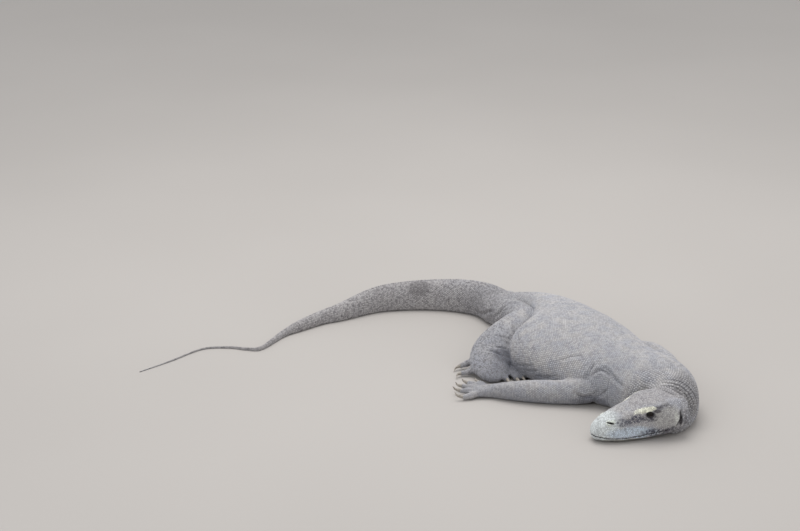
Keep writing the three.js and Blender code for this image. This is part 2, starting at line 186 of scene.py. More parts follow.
TOES = [
    [(-12, 22, 12), (10, 32, 11), (24, 36, 8), (33, 38, 8), (43, 39, 1.5)],
    [(-2, 12, 12), (28, 18, 11), (46, 20, 8), (57, 21, 8), (68, 21, 1.5)],
    [(0, 1, 12), (34, 3, 11), (58, 3, 8), (70, 3, 8), (82, 2, 1.5)],
    [(-2, -10, 12), (34, -18, 11), (64, -26, 8), (76, -29, 8), (88, -32, 1.5)],
    [(-30, -20, 14), (-18, -33, 11), (-6, -43, 8), (3, -50, 8), (12, -56, 1.5)],
]
LEVEL = 12  # a hand's own lift starts at this height
DIGIT_RADIUS = 8
CLAW_ROOT = 4.3  # half its depth there; it is narrower than it is deep
CLAW_WIDTH = 0.72
CLAW_POINT = 0.4
CLAW_SUNK = 3
HANDS = {
    "hand_right": {"at": (-76, -412), "heading": 170, "side": 1, "lift": 1, "digits": FINGERS},
    "hand_left": {"at": (278, -152), "heading": 106, "side": -1, "lift": 0.5, "digits": FINGERS},
    "foot_right": {"at": (-40, -300), "heading": 270, "side": 1, "lift": 1, "digits": SPLAYED_TOES},
    "foot_left": {"at": (14, 163), "heading": 132, "side": -1, "lift": 1, "digits": TOES},
}
FLESH = [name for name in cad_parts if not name.startswith(("claw_", "eye_"))]

SKIN_DEPTH = 1.1  # the skin lies this far inside the solids, and the scales fill what is between
FLOOR_GAP = 0.3  # the skin's lowest points are this far above the floor
CLEAR_OF_FLOOR = 0.05  # and those of scales and claws this far
VOXEL = 4.1  # the grain of the union of the parts

# The power of each outline: 2 is an ellipse, less is nearer a diamond, more nearer a box.
BACK_POWER, FLANK_POWER, BELLY_POWER, LIMB_POWER = 1.9, 2.2, 3.6, 2.2

# ---- Curves and lofts ----


def through(values, t):
    """A smooth curve through rows of numbers, at t from 0 to the last row."""
    rows = np.asarray(values, float)
    t = np.asarray(t, float)
    padded = np.concatenate([[2 * rows[0] - rows[1]], rows, [2 * rows[-1] - rows[-2]]])
    i = np.clip(np.floor(t).astype(int), 0, len(rows) - 2)
    f = (t - i).reshape(t.shape + (1,) * (rows.ndim - 1))
    a, b, c, d = (padded[i + k] for k in range(4))
    slope_in, slope_out, rise = (c - a) / 2, (d - b) / 2, c - b
    square = 3 * rise - 2 * slope_in - slope_out
    cube = slope_in + slope_out - 2 * rise
    return b + f * (slope_in + f * (square + f * cube))


def way_on(rows, t, step):
    """The way that a row of stations runs at a station number."""
    ends = through(rows, [max(t - step, 0), min(t + step, len(rows) - 1)])
    return ends[1] - ends[0]


def bulged(value, power):
    """A cosine or sine for an outline of that power."""
    return np.sign(value) * np.abs(value) ** (2 / power)


def unit(vectors):
    return vectors / np.maximum(np.linalg.norm(vectors, axis=-1, keepdims=True), 1e-9)


def smoothstep(low, high, x):
    f = np.clip((x - low) / (high - low), 0, 1)
    return f * f * (3 - 2 * f)


def turned(ahead, left, at, heading):
    """The plan's x and y of places ahead and to the left of a spot that has a heading."""
    turn = math.radians(heading)
    x = at[0] + ahead * math.cos(turn) - left * math.sin(turn)
    y = at[1] + ahead * math.sin(turn) + left * math.cos(turn)
    return x, y


def to_head(points):
    """Plan to head frame: along the head, to its left, up."""
    turn = math.radians(HEAD_HEADING)
    x, y = points[..., 0] - HEAD_REAR[0], points[..., 1] - HEAD_REAR[1]
    ahead = x * math.cos(turn) + y * math.sin(turn)
    left = y * math.cos(turn) - x * math.sin(turn)
    return np.stack([ahead, left, points[..., 2]], -1)


def from_head(points):
    """Head frame to plan."""
    ahead, left, up = np.moveaxis(np.asarray(points, float), -1, 0)
    return np.stack([*turned(ahead, left, HEAD_REAR, HEAD_HEADING), up], -1)


def eye_centre(side):
    return from_head([EYE["along"], side * EYE["out"], EYE["up"]])


def gaze(side):
    """The way an eye faces: out to its side, a little ahead and up."""
    return unit(from_head([0.10, side, 0.16]) - from_head([0, 0, 0]))


def lip_height(at):
    """How high the line between the lips is, at places in the head's frame."""
    return np.interp(at[:, 0], *np.array(MOUTH, float)[::-1].T)


low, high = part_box("eye_left")
PLAN_ORIGIN = np.array((low + high) / 2) / MM - eye_centre(1)
PLAN_ORIGIN[2] = 0


def to_row(points):
    """Plan millimetres to the row's metres."""
    return (np.asarray(points, float) + PLAN_ORIGIN) * MM


def body_ring(t, sides=96):
    """An outline of the body at a station number, from the crown round by the left."""
    x, y, left, right, top = through(BODY, t)
    ahead = unit(way_on(BODY, t, 0.02)[:2])
    top = top - SKIN_DEPTH
    widest = WIDEST_SHARE * top
    turn = 2 * np.pi * np.arange(sides) / sides
    up, out = np.cos(turn), np.sin(turn)
    above = up > 0
    rise = np.where(above, top - widest, BELLY_SHARE * widest)
    reach = np.where(out > 0, left, right) - SKIN_DEPTH
    z = widest + np.where(above, bulged(up, BACK_POWER), bulged(up, BELLY_POWER)) * rise
    out = np.where(above, bulged(out, FLANK_POWER), bulged(out, BELLY_POWER)) * reach
    return np.stack([x - ahead[1] * out, y + ahead[0] * out, np.maximum(z, FLOOR_GAP)], 1)


def head_ring(t, sides=96):
    """An outline of the head at a station number, from the crown round by the left."""
    station = through([s for s, _ in HEAD], t)
    half = through([outline for _, outline in HEAD], t)
    turn = 2 * np.arange(sides) / sides
    u = np.where(turn <= 1, turn, 2 - turn) * (len(half) - 1)
    out, up = through(half, u).T
    shrunk = 1 - SKIN_DEPTH / HEAD_RADIUS
    out = np.maximum(out, 0) * shrunk * np.where(turn <= 1, 1, -1)
    up = np.maximum(HEAD_MIDDLE + (up - HEAD_MIDDLE) * shrunk, FLOOR_GAP)
    return from_head(np.stack([np.full(sides, station + SKIN_DEPTH), out, up], 1))


def limb_ring(limb, t, sides=48, depth=SKIN_DEPTH):
    """An outline across a limb, digit or claw at a station number, that far inside its solid."""
    row = through(limb, t)
    ahead = unit(way_on(limb, t, 0.05)[:3])
    left = unit(np.array([-ahead[1], ahead[0], 0]))
    up = np.cross(ahead, left)
    turn = 2 * np.pi * np.arange(sides) / sides
    out = bulged(np.sin(turn), LIMB_POWER) * (row[3] - depth)
    rise = bulged(np.cos(turn), LIMB_POWER) * (row[4] - depth)
    return row[:3] + out[:, None] * left + rise[:, None] * up


def on_hand(hand, points):
    """Points of a hand or foot in the plan of the whole animal."""
    ahead, left, up = np.array(points, float).T
    x, y = turned(ahead, left * hand["side"], hand["at"], hand["heading"])
    return np.stack([x, y, np.where(up > LEVEL, LEVEL + (up - LEVEL) * hand["lift"], up)], 1)


def digit_stations(hand, digit):
    """A finger or toe as a limb, with a swelling at each knuckle and at its end."""
    along = np.linspace(0, 2, 9)
    taper = through([1.05, 1, 0.78], along)
    knuckles = 1 + 0.07 * np.cos(2 * np.pi * along)
    radius = DIGIT_RADIUS * taper * knuckles
    return np.column_stack([through(on_hand(hand, digit[:3]), along), radius, radius])


def claw_stations(hand, digit):
    """A claw as a limb: deeper than it is wide, hooked, and sharp."""
    joint, end = on_hand(hand, digit[1:3])
    root = end + unit(joint - end) * CLAW_SUNK
    path = np.vstack([root, on_hand(hand, digit[3:])])
    share = np.linspace(0, 1, 9)
    radius = CLAW_POINT + (CLAW_ROOT - CLAW_POINT) * (1 - share**1.3)
    return np.column_stack([through(path, 2 * share), radius * CLAW_WIDTH, radius])


def loft(rings, first=0):
    """Points and faces of a closed surface through rings, with a fan on each end."""
    count, sides = len(rings), len(rings[0])
    points = np.vstack([*rings, rings[0].mean(0)[None], rings[-1].mean(0)[None]])
    ring = np.arange(count - 1)[:, None] * sides
    k = np.arange(sides)[None]
    after = (k + 1) % sides
    quads = np.stack([ring + k, ring + after, ring + sides + after, ring + sides + k], -1).reshape(-1, 4)
    last = (count - 1) * sides
    start_fan = [(int(a), count * sides, int(b)) for a, b in zip(after[0], k[0])]
    end_fan = [(last + int(a), count * sides + 1, last + int(b)) for a, b in zip(k[0], after[0])]
    faces = [tuple(q) for q in (quads[:, ::-1] + first).tolist()]
    return points, faces + [tuple(v + first for v in face) for face in start_fan + end_fan]


# ---- The parts of the flesh: what each is, its outline at a station, and where its scales are laid ----


def neck_share(t):
    """How far a station is into the neck, whose scales are larger and stand further up."""
    return float(smoothstep(22.6, 24.0, t) * smoothstep(26.4, 25.6, t))


def body_part():
    return {
        "name": "body",
        "ring": body_ring,
        "span": (0, len(BODY) - 1),
        "rings": 520,
        "pitch": lambda t, girth: float(np.clip(1.5 + 0.034 * girth, 1.7, 4.4) + 1.3 * neck_share(t)),
        "rise": lambda t: 0.2 + 0.13 * neck_share(t),
    }


def limb_part(name, limb):
    return {
        "name": name,
        "ring": lambda t, sides=48: limb_ring(limb, t, sides),
        "span": (0, len(limb) - 1),
        "rings": 90,
        "pitch": lambda t, girth: float(np.interp(t, [0, 4, 7, 9], [4.4, 3.9, 3.3, 2.8])),
        "rise": lambda t: 0.24,
    }


def digit_part(name, hand, digit):
    stations = digit_stations(hand, digit)
    return {
        "name": name,
        "ring": lambda t, sides=24: limb_ring(stations, t, sides),
        "span": (0, len(stations) - 1),
        "rings": 26,
        "pitch": lambda t, girth: 2.6,
        "rise": lambda t: 0.24,
    }


def head_part():
    return {
        "name": "head",
        "ring": head_ring,
        "span": (0, len(HEAD) - 1),
        "rings": 80,
        "pitch": lambda t, girth: 3.4,
        "rise": lambda t: 0.13,
    }


def flesh_parts():
    """Every part of the flesh; the body comes first."""
    parts = [body_part(), head_part()]
    limbs = {"arm_right": RIGHT_ARM, "arm_left": LEFT_ARM, "leg_right": RIGHT_LEG, "leg_left": LEFT_LEG}
    parts += [limb_part(name, limb) for name, limb in limbs.items()]
    for name, hand in HANDS.items():
        parts += [digit_part(f"{name}_{i + 1}", hand, digit) for i, digit in enumerate(hand["digits"])]
    return parts


def head_number(parts):
    return [part["name"] for part in parts].index("head")


def part_rings(part, start=None):
    """Outlines along a part, from a station on if one is given."""
    low, high = part["span"]
    return [part["ring"](t) for t in np.linspace(low if start is None else start, high, part["rings"])]


# ---- The skin ----


def mesh_of(name, points, faces):
    mesh = bpy.data.meshes.new(name)
    mesh.from_pydata(np.asarray(points, float).tolist(), [], faces)
    mesh.update()
    return mesh


def shown(name, mesh):
    obj = bpy.data.objects.new(name, mesh)
    bpy.context.scene.collection.objects.link(obj)
    return obj


def read(items, name, width, kind=np.float32):
    """A property of all of a mesh's points, edges or faces, as rows."""
    found = np.empty(len(items) * width, kind)
    items.foreach_get(name, found)
    return found.reshape(-1, width)


def points_of(mesh):
    return read(mesh.vertices, "co", 3).astype(float)


def normals_of(mesh):
    return read(mesh.vertex_normals, "vector", 3).astype(float)


def centres_of(mesh):
    return read(mesh.polygons, "center", 3).astype(float)


def edges_of(mesh):
    return read(mesh.edges, "vertices", 2, np.int32)


def set_points(mesh, points):
    mesh.vertices.foreach_set("co", np.asarray(points, np.float32).ravel())
    mesh.update()


def shade_smooth(mesh):
    for polygon in mesh.polygons:
        polygon.use_smooth = True


def neighbour_mean(points, edges):
    """The middle of each point's neighbours."""
    count = np.bincount(edges.ravel(), minlength=len(points))
    total = np.empty_like(points)
    for axis in range(3):
        forward = np.bincount(edges[:, 0], points[edges[:, 1], axis], len(points))
        total[:, axis] = forward + np.bincount(edges[:, 1], points[edges[:, 0], axis], len(points))
    return total / np.maximum(count, 1)[:, None]


def smoothed(mesh, rounds, weight=1.0):
    """Evens out a mesh without shrinking it."""
    points, edges = points_of(mesh), edges_of(mesh)
    for _ in range(rounds):
        for share in (0.5, -0.52):
            points += share * weight * (neighbour_mean(points, edges) - points)
    set_points(mesh, points)


def webbed(mesh, rounds, weight):
    """Lets the skin fill the creases where limbs leave the body, and keeps its faces even there."""
    edges = edges_of(mesh)
    for _ in range(rounds):
        points, normals = points_of(mesh), normals_of(mesh)
        pull = neighbour_mean(points, edges) - points
        lift = (pull * normals).sum(1)[:, None]
        evening = pull - normals * lift
        set_points(mesh, points + (normals * np.clip(lift, 0, None) + evening) * 0.6 * weight[:, None])


def union_of(parts):
    """One closed surface round the overlapping parts."""
    points, faces = [], []
    for part in parts:
        start = THICK_TAIL_START if part["name"] == "body" else None
        made, sides = loft(part_rings(part, start), sum(len(p) for p in points))
        points.append(made)
        faces += sides
    obj = shown("union", mesh_of("union", np.vstack(points), faces))
    remesh = obj.modifiers.new("union", "REMESH")
    remesh.mode = "VOXEL"
    remesh.voxel_size = VOXEL
    made = bpy.data.meshes.new_from_object(obj.evaluated_get(bpy.context.evaluated_depsgraph_get()))
    bpy.data.objects.remove(obj)
    return made


def refined(mesh, wanted):
    """The mesh with each face whose centre is wanted cut in four."""
    cut = bmesh.new()
    cut.from_mesh(mesh)
    centres = np.array([face.calc_center_median() for face in cut.faces])
    chosen = wanted(centres)
    edges = {edge for face, take in zip(cut.faces, chosen) if take for edge in face.edges}
    bmesh.ops.subdivide_edges(cut, edges=list(edges), cuts=1, use_grid_fill=True)
    wide = [face for face in cut.faces if len(face.verts) > 4]
    bmesh.ops.triangulate(cut, faces=wide)
    made = bpy.data.meshes.new("skin")
    cut.to_mesh(made)
    cut.free()
    return made


def along_curve(points, curve, samples=24):
    """Each point's distance from a smooth curve, and how far along the curve it is, 0 to 1."""
    line = through(curve, np.linspace(0, len(curve) - 1, samples))
    start, step = line[:-1], np.diff(line, axis=0)
    rel = points[:, None] - start[None]
    share = np.clip((rel * step).sum(2) / (step**2).sum(1), 0, 1)
    apart = np.linalg.norm(rel - share[..., None] * step, axis=2)
    nearest = apart.argmin(1)
    rows = np.arange(len(points))
    return apart[rows, nearest], (nearest + share[rows, nearest]) / (samples - 1)


def pressed(points, normals, curve, width, height, lip=0.0):
    """A fold along a curve: a ridge where height is above 0 and a groove where it is below."""
    reach = 4 * width
    box = (points > np.min(curve, 0) - reach).all(1) & (points < np.max(curve, 0) + reach).all(1)
    near = np.flatnonzero(box)
    if not len(near):
        return
    apart, where = along_curve(points[near], curve)
    ends = smoothstep(0, 0.18, where) * smoothstep(1, 0.82, where)
    shape = height * np.exp(-((apart / width) ** 2))
    shape += lip * np.exp(-(((apart - 2.1 * width) / width) ** 2))
    points[near] += normals[near] * (shape * ends)[:, None]


# Folds of the head, as (curve along, out and up; width; height; lip). Both sides have them.
HEAD_FOLDS = {
    "brow": ([(122, 31, 64), (103, 38, 71), (85, 43, 75), (74, 44, 74)], 4.0, 2.6, 0),
    "snout ridge": ([(122, 31, 65), (142, 27, 59), (160, 22, 53)], 5.0, 1.4, 0),
    "temple furrow": ([(80, 46, 71), (64, 44, 76), (43, 40, 79)], 3.2, -3.6, 1.0),
    "jaw muscle": ([(66, 52, 52), (48, 54, 54), (34, 53, 56)], 13.0, 2.2, 0),
    "under the eye": ([(104, 42, 52), (90, 48, 50), (78, 50, 56)], 3.0, -1.4, 0.5),
    "ear": ([(19, 47, 69), (21, 53, 57), (26, 56, 43), (34, 54, 29)], 3.0, -8.0, 1.8),
    "before the ear": ([(28, 48, 68), (30, 55, 56), (35, 57, 43), (42, 55, 30)], 3.0, 2.0, 0),
    "nostril": ([(180, 18, 47.5), (173, 22, 45.5), (166, 25, 44)], 1.7, -6.0, 1.5),
    "upper lip": ([(190, 20, 19), (160, 33, 17), (120, 41, 19), (84, 47, 23)], 3.2, 1.0, 0),
    "corner of the mouth": ([(60, 51, 26), (50, 53, 24), (42, 52, 17)], 2.6, -2.4, 0.8),
    "gular fold": ([(70, 48, 12), (45, 49, 13), (20, 50, 18), (4, 50, 26)], 3.4, -2.6, 1.0),
}

# Folds of the body, in the plan, from points on the skin or just outside it.
BODY_FOLDS = {
    "armpit": ([(150, -466, 62), (164, -463, 83), (175, -457, 97)], 3.6, -4.0, 1.6),
    "shoulder": ([(150, -474, 58), (177, -470, 83), (200, -483, 84), (245, -531, 61)], 3.8, -5.0, 1.4),
    "over the shoulder": ([(185, -463, 95), (201, -477, 92), (216, -500, 79)], 3.0, -3.2, 1.0),
    "elbow": ([(130, -478, 34), (148, -480, 27), (167, -482, 32), (188, -489, 47)], 3.2, -5.0, 1.5),
    "under the elbow": ([(141, -479, 25), (164, -480, 23), (185, -486, 36), (202, -497, 55)], 3, -4.6, 1.4),
    "flank": ([(103, -416, 83), (125, -422, 96), (151, -431, 102)], 3.4, -2.4, 0.8),
    "belly": ([(15, -325, 39), (26, -344, 42), (50, -376, 55)], 2.8, -3.4, 1.0),
    "low belly": ([(22, -338, 33), (40, -361, 38), (59, -385, 48)], 2.8, -3.0, 1.0),
    "side of the belly": ([(54, -377, 33), (75, -401, 40), (100, -425, 54)], 3.0, -2.8, 0.9),
    "root of the tail": ([(-69, 57, 19), (-51, 30, 19), (-28, -11, 42), (-10, -77, 69)], 4.0, -4.5, 1.0),
    "hip": ([(-10, -77, 69), (1, -82, 83), (17, -86, 92), (35, -114, 98)], 3.4, -3.0, 1.0),
    "vent": ([(-6, -84, 70), (-13, -70, 60), (-19, -52, 42)], 3.4, -3.0, 1.0),
    "ankle": ([(-56, -277, 53), (-28, -285, 48), (-14, -290, 38)], 2.8, -4.2, 1.5),
    "above the ankle": ([(-36, -270, 58), (-19, -268, 53), (-8, -262, 44)], 2.6, -3.4, 1.3),
    "shank": ([(-44, -232, 72), (-20, -238, 68), (2, -236, 56)], 2.8, -2.4, 0.8),
    "knee": ([(6, -200, 84), (14, -214, 74), (18, -226, 58)], 2.6, -2.6, 0.8),
}
# Rings of loose skin behind the head: station, depth.
NECK_RINGS = [
    (23.8, 1.2),
    (24.15, 2.4),
    (24.42, 4.0),
    (24.66, 4.6),
    (24.9, 4.6),
    (25.12, 4.0),
    (25.34, 3.2),
    (25.54, 2.0),
]


def snapped(curve, tree, points):
    """A curve moved onto the nearest points of the skin."""
    return points[nearest_index(tree, np.asarray(curve, float))[0]]


def folded_neck(points, normals, tree):
    """Loose skin gathers in rings on the outside of the neck's bend."""
    for i, (t, depth) in enumerate(NECK_RINGS):
        ring = body_ring(t, 48)
        over = np.roll(ring, 3, axis=0)[:27]
        wave = 1.6 * np.sin(np.linspace(0, 6, len(over)) + 2.1 * i)
        ahead = unit(body_ring(t + 0.1).mean(0) - body_ring(t - 0.1).mean(0))
        curve = snapped((over + wave[:, None] * ahead)[::3], tree, points)
        pressed(points, normals, curve, 2.4, -depth, 0.35 * depth)


# Where a limb lies against the trunk: station that the crease starts from, depth, width.
CREASES = {"leg_right": (1.6, 5.5, 3.4), "leg_left": (1.8, 4.0, 3.2), "arm_right": (1.6, 3.5, 3.0)}


def surface_of(part, start):
    made, faces = loft(part_rings(part, start))
    return BVHTree.FromPolygons(made.tolist(), faces)


def creased(points, normals, parts):
    """Deepens the creases between the limbs and the trunk that they lie against."""
    by_name = {part["name"]: part for part in parts}
    trunk = surface_of(by_name["body"], 12)
    reach = 9
    for name, (start, depth, width) in CREASES.items():
        rings = np.vstack(part_rings(by_name[name], start))
        limb = surface_of(by_name[name], start)
        box = (points > rings.min(0) - reach).all(1) & (points < rings.max(0) + reach).all(1)
        for i in np.flatnonzero(box):
            apart = [surface.find_nearest(points[i], reach)[3] for surface in (limb, trunk)]
            if None not in apart:
                points[i] -= normals[i] * depth * math.exp(-((max(apart) / width) ** 2))


def carved_mouth(points, normals):
    """The line between the lips, right round the snout."""
    at = to_head(points)
    inside = (np.abs(at[:, 1]) < 60) & (at[:, 2] < 60) & (at[:, 0] > 40)
    depth = np.exp(-(((at[:, 2] - lip_height(at)) / 1.3) ** 2)) * smoothstep(44, 62, at[:, 0]) * inside
    points -= normals * (4.2 * depth)[:, None]


def opened_eye(points, side):
    """Lids that lie on the eyeball, and a slit between them."""
    centre = eye_centre(side)
    axis = gaze(side)
    forward = unit(np.cross(axis, UP)) * -side
    upward = unit(np.cross(forward, axis))
    upward *= np.sign(upward[2])
    rel = points - centre
    out, ahead, rise = rel @ axis, rel @ forward, rel @ upward
    outer = (out > 0) & (np.linalg.norm(rel, axis=1) < LID["reach"])
    near = smoothstep(LID["fades"], LID["full"], np.hypot(ahead, rise * 1.15)) * outer
    lid = centre + unit(rel) * (EYE["radius"] + LID["thickness"])
    points += (lid - points) * (near * 0.92)[:, None]
    length = np.abs(ahead / SLIT["half_length"]) ** SLIT["power"]
    height = np.abs((rise + SLIT["below"]) / SLIT["half_height"]) ** SLIT["power"]
    hole = smoothstep(1.12, 0.86, length + height) * outer
    deep = centre + unit(rel) * (EYE["radius"] - SLIT["depth"])
    points += (deep - points) * hole[:, None]


# Where the head's mesh is cut finest, besides the lips: along, out, up, radius.
FINE_SPOTS = {
    "eye": (90, 44, 62, 16),
    "nostril": (173, 22, 45, 9),
    "upper half of the ear": (23, 53, 60, 9),
    "lower half of the ear": (28, 55, 42, 11),
}


def face_detail(centres):
    """Whether faces are in those spots or by the lips."""
    at = to_head(centres)
    s, out, up = at[:, 0], np.abs(at[:, 1]), at[:, 2]
    found = np.zeros(len(at), bool)
    for a, b, c, radius in FINE_SPOTS.values():
        found |= (s - a) ** 2 + (out - b) ** 2 + (up - c) ** 2 < radius**2
    return found | ((np.abs(up - lip_height(at)) < 4.5) & (s > 46) & (out < 60))


def openness(points):
    """How near places of the skin are to the lips, a nostril or an ear: 1 is the edge of its bare skin."""
    at = to_head(points)
    away = (at[:, 0] < 50) | (np.abs(at[:, 1]) > 60)
    found = np.where(away, 9, np.abs(at[:, 2] - lip_height(at)) / 1.9)
    near = np.flatnonzero(near_head(points))
    folded = at[near] * (1, 0, 1) + np.abs(at[near]) * (0, 1, 0)
    for name, width in (("nostril", 2.6), ("ear", 3.4)):
        apart, _ = along_curve(folded, np.array(HEAD_FOLDS[name][0], float))
        found[near] = np.minimum(found[near], apart / width)
    return found


def near_eyeball(points):
    """Inside the slits of the eyelids."""
    apart = [np.linalg.norm(points - eye_centre(side), axis=1) for side in (1, -1)]
    return np.min(apart, 0) < EYE["radius"] + 0.8


def plain_skin(parts):
    """The skin before it is folded, finer on the head and the folded neck, and finest on the face."""
    skin = union_of(parts)
    smoothed(skin, 10)
    points = points_of(skin)
    roots = [limb[0][:3] for limb in (RIGHT_ARM, LEFT_ARM, RIGHT_LEG, LEFT_LEG)]
    apart = np.min([np.linalg.norm(points - root, axis=1) for root in np.array(roots, float)], 0)
    webbed(skin, 14, smoothstep(135, 70, apart))
    nape = np.linalg.norm(points - from_head([2, 0, 50]), axis=1)
    webbed(skin, 10, smoothstep(90, 50, nape))
    skin = refined(skin, lambda centres: near_head(centres) | on_folded_neck(centres))
    skin = refined(skin, face_detail)
    near = near_head(points_of(skin)) | on_folded_neck(points_of(skin))
    smoothed(skin, 8, near.astype(float)[:, None])
    return skin


def made_skin(parts):
    """The skin, and for each of its points how near it is to an opening of the head."""
    skin = plain_skin(parts)
    points, normals = points_of(skin), normals_of(skin)
    open_to = openness(points)
    creased(points, normals, parts)
    tree = tree_of(points)
    for curve, width, height, lip in BODY_FOLDS.values():
        pressed(points, normals, snapped(curve, tree, points), width, height, lip)
    folded_neck(points, normals, tree)
    for side in (1, -1):
        for curve, width, height, lip in HEAD_FOLDS.values():
            pressed(points, normals, from_head(np.array(curve) * (1, side, 1)), width, height, lip)
        opened_eye(points, side)
    carved_mouth(points, normals)
    points[:, 2] = np.maximum(points[:, 2], FLOOR_GAP)
    set_points(skin, points)
    return skin, np.where(near_eyeball(points), 0, open_to)


def on_folded_neck(points):
    """The outside of the neck's bend, where its rings of loose skin are."""
    rings = np.vstack([body_ring(t, 32)[:15:2] for t in (23.8, 24.4, 24.9, 25.3, 25.6)])
    near = np.flatnonzero((points[:, 0] > 280) & (points[:, 1] < -480))
    found = np.zeros(len(points), bool)
    found[near] = nearest_index(tree_of(rings), points[near])[1] < 14
    return found


def near_head(points):
    """Whether points are in the box round the head."""
    at = to_head(points)
    return (at[:, 0] > -12) & (at[:, 0] < 215) & (np.abs(at[:, 1]) < 64) & (at[:, 2] < 100)


def thin_tail():
    """The thin end of the tail, a plain loft that runs on inside the rest of the skin."""
    return loft([body_ring(t, 16) for t in np.linspace(0, THIN_TAIL_END, 150)])


# ---- Scales ----

ROW_SHARE = 0.87  # rings of scales are this many pitches apart
LEAST_ROOM = 0.8  # a scale between the rings keeps this share of its pitch from the next
CREST = {"span": (9.5, 16.8), "pitch": 5.7, "rise": 0.66}
CLEAR = 0.94  # how much of its place a scale fills
SHOULDER = 0.74  # how far out the edge of its flat top is
PATCH = 0.0015  # the radius of its patch on the unwrap
COAT_PIECE = 9500  # the most scales in one piece of the coat

# A scale is a row: its place, the way out of the skin and the way it lies, each as three columns, then its
# pitch, its place on the unwrap of its part, its part's number, length and girth, and its relative height.
PLACE, OUTWARD, LIE = slice(0, 3), slice(3, 6), slice(6, 9)
PITCH, U, V, PART, LENGTH, GIRTH, RISE = range(9, 16)


def middle_line(part):
    """Stations of a part, the middles of its outlines there, and how far along it each one is."""
    stations = np.linspace(*part["span"], 240)
    middles = np.array([part["ring"](t).mean(0) for t in stations])
    steps = np.linalg.norm(np.diff(middles, axis=0), axis=1)
    return stations, middles, np.concatenate([[0], np.cumsum(steps)])


def rings_of_scales(part, number):
    """The scales of a part before they are moved onto the skin, as rows, in staggered rings."""
    stations, middles, length = middle_line(part)
    found, along, row = [], 0.0, 0
    while along < length[-1]:
        t = float(np.interp(along, length, stations))
        ring = part["ring"](t)
        closed = np.vstack([ring, ring[:1]])
        girth = np.concatenate([[0], np.cumsum(np.linalg.norm(np.diff(closed, axis=0), axis=1))])
        pitch = part["pitch"](t, girth[-1])
        count = max(6, round(girth[-1] / pitch))
        where = (np.arange(count) + 0.5 * (row % 2)) / count
        places = np.stack([np.interp(where * girth[-1], girth, closed[:, k]) for k in range(3)], 1)
        ends = [np.array([np.interp(along + d, length, middles[:, k]) for k in range(3)]) for d in (-6, 6)]
        lie = unit(ends[1] - ends[0]) * (-1 if part["name"] == "body" else 1)
        outward = unit(places - ring.mean(0))
        alike = [*lie, pitch, along / length[-1], 0, number, length[-1], girth[-1], part["rise"](t)]
        rows = np.column_stack([places, outward, np.tile(alike, (count, 1))])
        rows[:, V] = where % 1
        found.append(rows)
        along += pitch * ROW_SHARE
        row += 1
    return np.vstack(found)


def crest_scales(body):
    """The row of upright scales along the top of the tail's root, as rows like those of the rings."""
    stations, middles, length = middle_line(body)
    first, last = np.interp(CREST["span"], stations, length)
    found = []
    for along in np.arange(first, last, CREST["pitch"]):
        t = float(np.interp(along, length, stations))
        lie = unit(middles[stations < t][-1] - middles[stations > t][0])
        height = smoothstep(first, first + 40, along) * smoothstep(last, last - 50, along)
        rise = 0.24 + (CREST["rise"] - 0.24) * height
        unwrapped = [along / length[-1], 0, 0, length[-1], 2 * math.pi * body["ring"](t)[0, 2]]
        found.append([*body["ring"](t)[0], *UP, *lie, CREST["pitch"], *unwrapped, rise])
    return np.array(found)


def tree_of(points):
    tree = KDTree(len(points))
    for i, point in enumerate(points):
        tree.insert(point, i)
    tree.balance()
    return tree


def nearest_index(tree, points):
    found = [tree.find(point) for point in points]
    return np.array([f[1] for f in found]), np.array([f[2] for f in found])


def on_skin(surface, points):
    """The nearest place on the skin to each point, its normal and its distance."""
    found = [surface.find_nearest(point) for point in points]
    places = np.array([f[0] for f in found])
    normals = np.array([f[1] for f in found])
    return places, normals, np.array([f[3] for f in found])


def spaced(rows, share):
    """Drops a scale where an earlier one is closer than that share of its pitch."""
    tree = tree_of(rows[:, PLACE])
    kept = np.ones(len(rows), bool)
    for i, row in enumerate(rows):
        if kept[i]:
            for _, j, _ in tree.find_range(row[PLACE], row[PITCH] * share):
                if j > i:
                    kept[j] = False
    return rows[kept]


def pitch_on_head(at):
    """Scales are largest on the nape and crown, and smallest round the eyes."""
    s, out, up = at[:, 0], np.abs(at[:, 1]), at[:, 2]
    crown = smoothstep(60, 74, up) * smoothstep(150, 120, s)
    eye = smoothstep(24, 12, np.linalg.norm(np.stack([s - 90, out - 44, up - 62]), axis=0))
    snout = smoothstep(150, 195, s)
    nape = smoothstep(30, 0, s)
    return 2.9 + 0.7 * crown + 1.4 * nape - 0.9 * eye - 0.3 * snout


def scattered(points, pitches, fixed):
    """Which of some places of the skin to give a scale, so that each has nearly the room of its pitch."""
    order = np.random.default_rng(7).permutation(len(points))
    taken = {}
    cell = 3.0

    def cell_of(point):
        return tuple(int(c // cell) for c in point)

    def clear(point, room):
        reach = range(-math.ceil(room / cell), math.ceil(room / cell) + 1)
        x, y, z = cell_of(point)
        around = ((x + i, y + j, z + k) for i in reach for j in reach for k in reach)
        return all(math.dist(other, point) >= room for near in around for other in taken.get(near, ()))

    _, apart = nearest_index(tree_of(fixed), points)
    room = pitches * LEAST_ROOM
    chosen = []
    for i in order[apart[order] > room[order]].tolist():
        point = tuple(points[i])
        if clear(point, room[i]):
            taken.setdefault(cell_of(point), []).append(point)
            chosen.append(i)
    return np.array(chosen, int)


def settled(seeds, points, rounds, fixed):
    """Moves seeds to the middles of the places nearest to them."""
    for _ in range(rounds):
        index, _ = nearest_index(tree_of(np.vstack([seeds, fixed])), points)
        count = np.bincount(index, minlength=len(seeds) + len(fixed))[: len(seeds)]
        for axis in range(3):
            total = np.bincount(index, points[:, axis], len(seeds) + len(fixed))[: len(seeds)]
            seeds[:, axis] = np.where(count > 0, total / np.maximum(count, 1), seeds[:, axis])
    return seeds


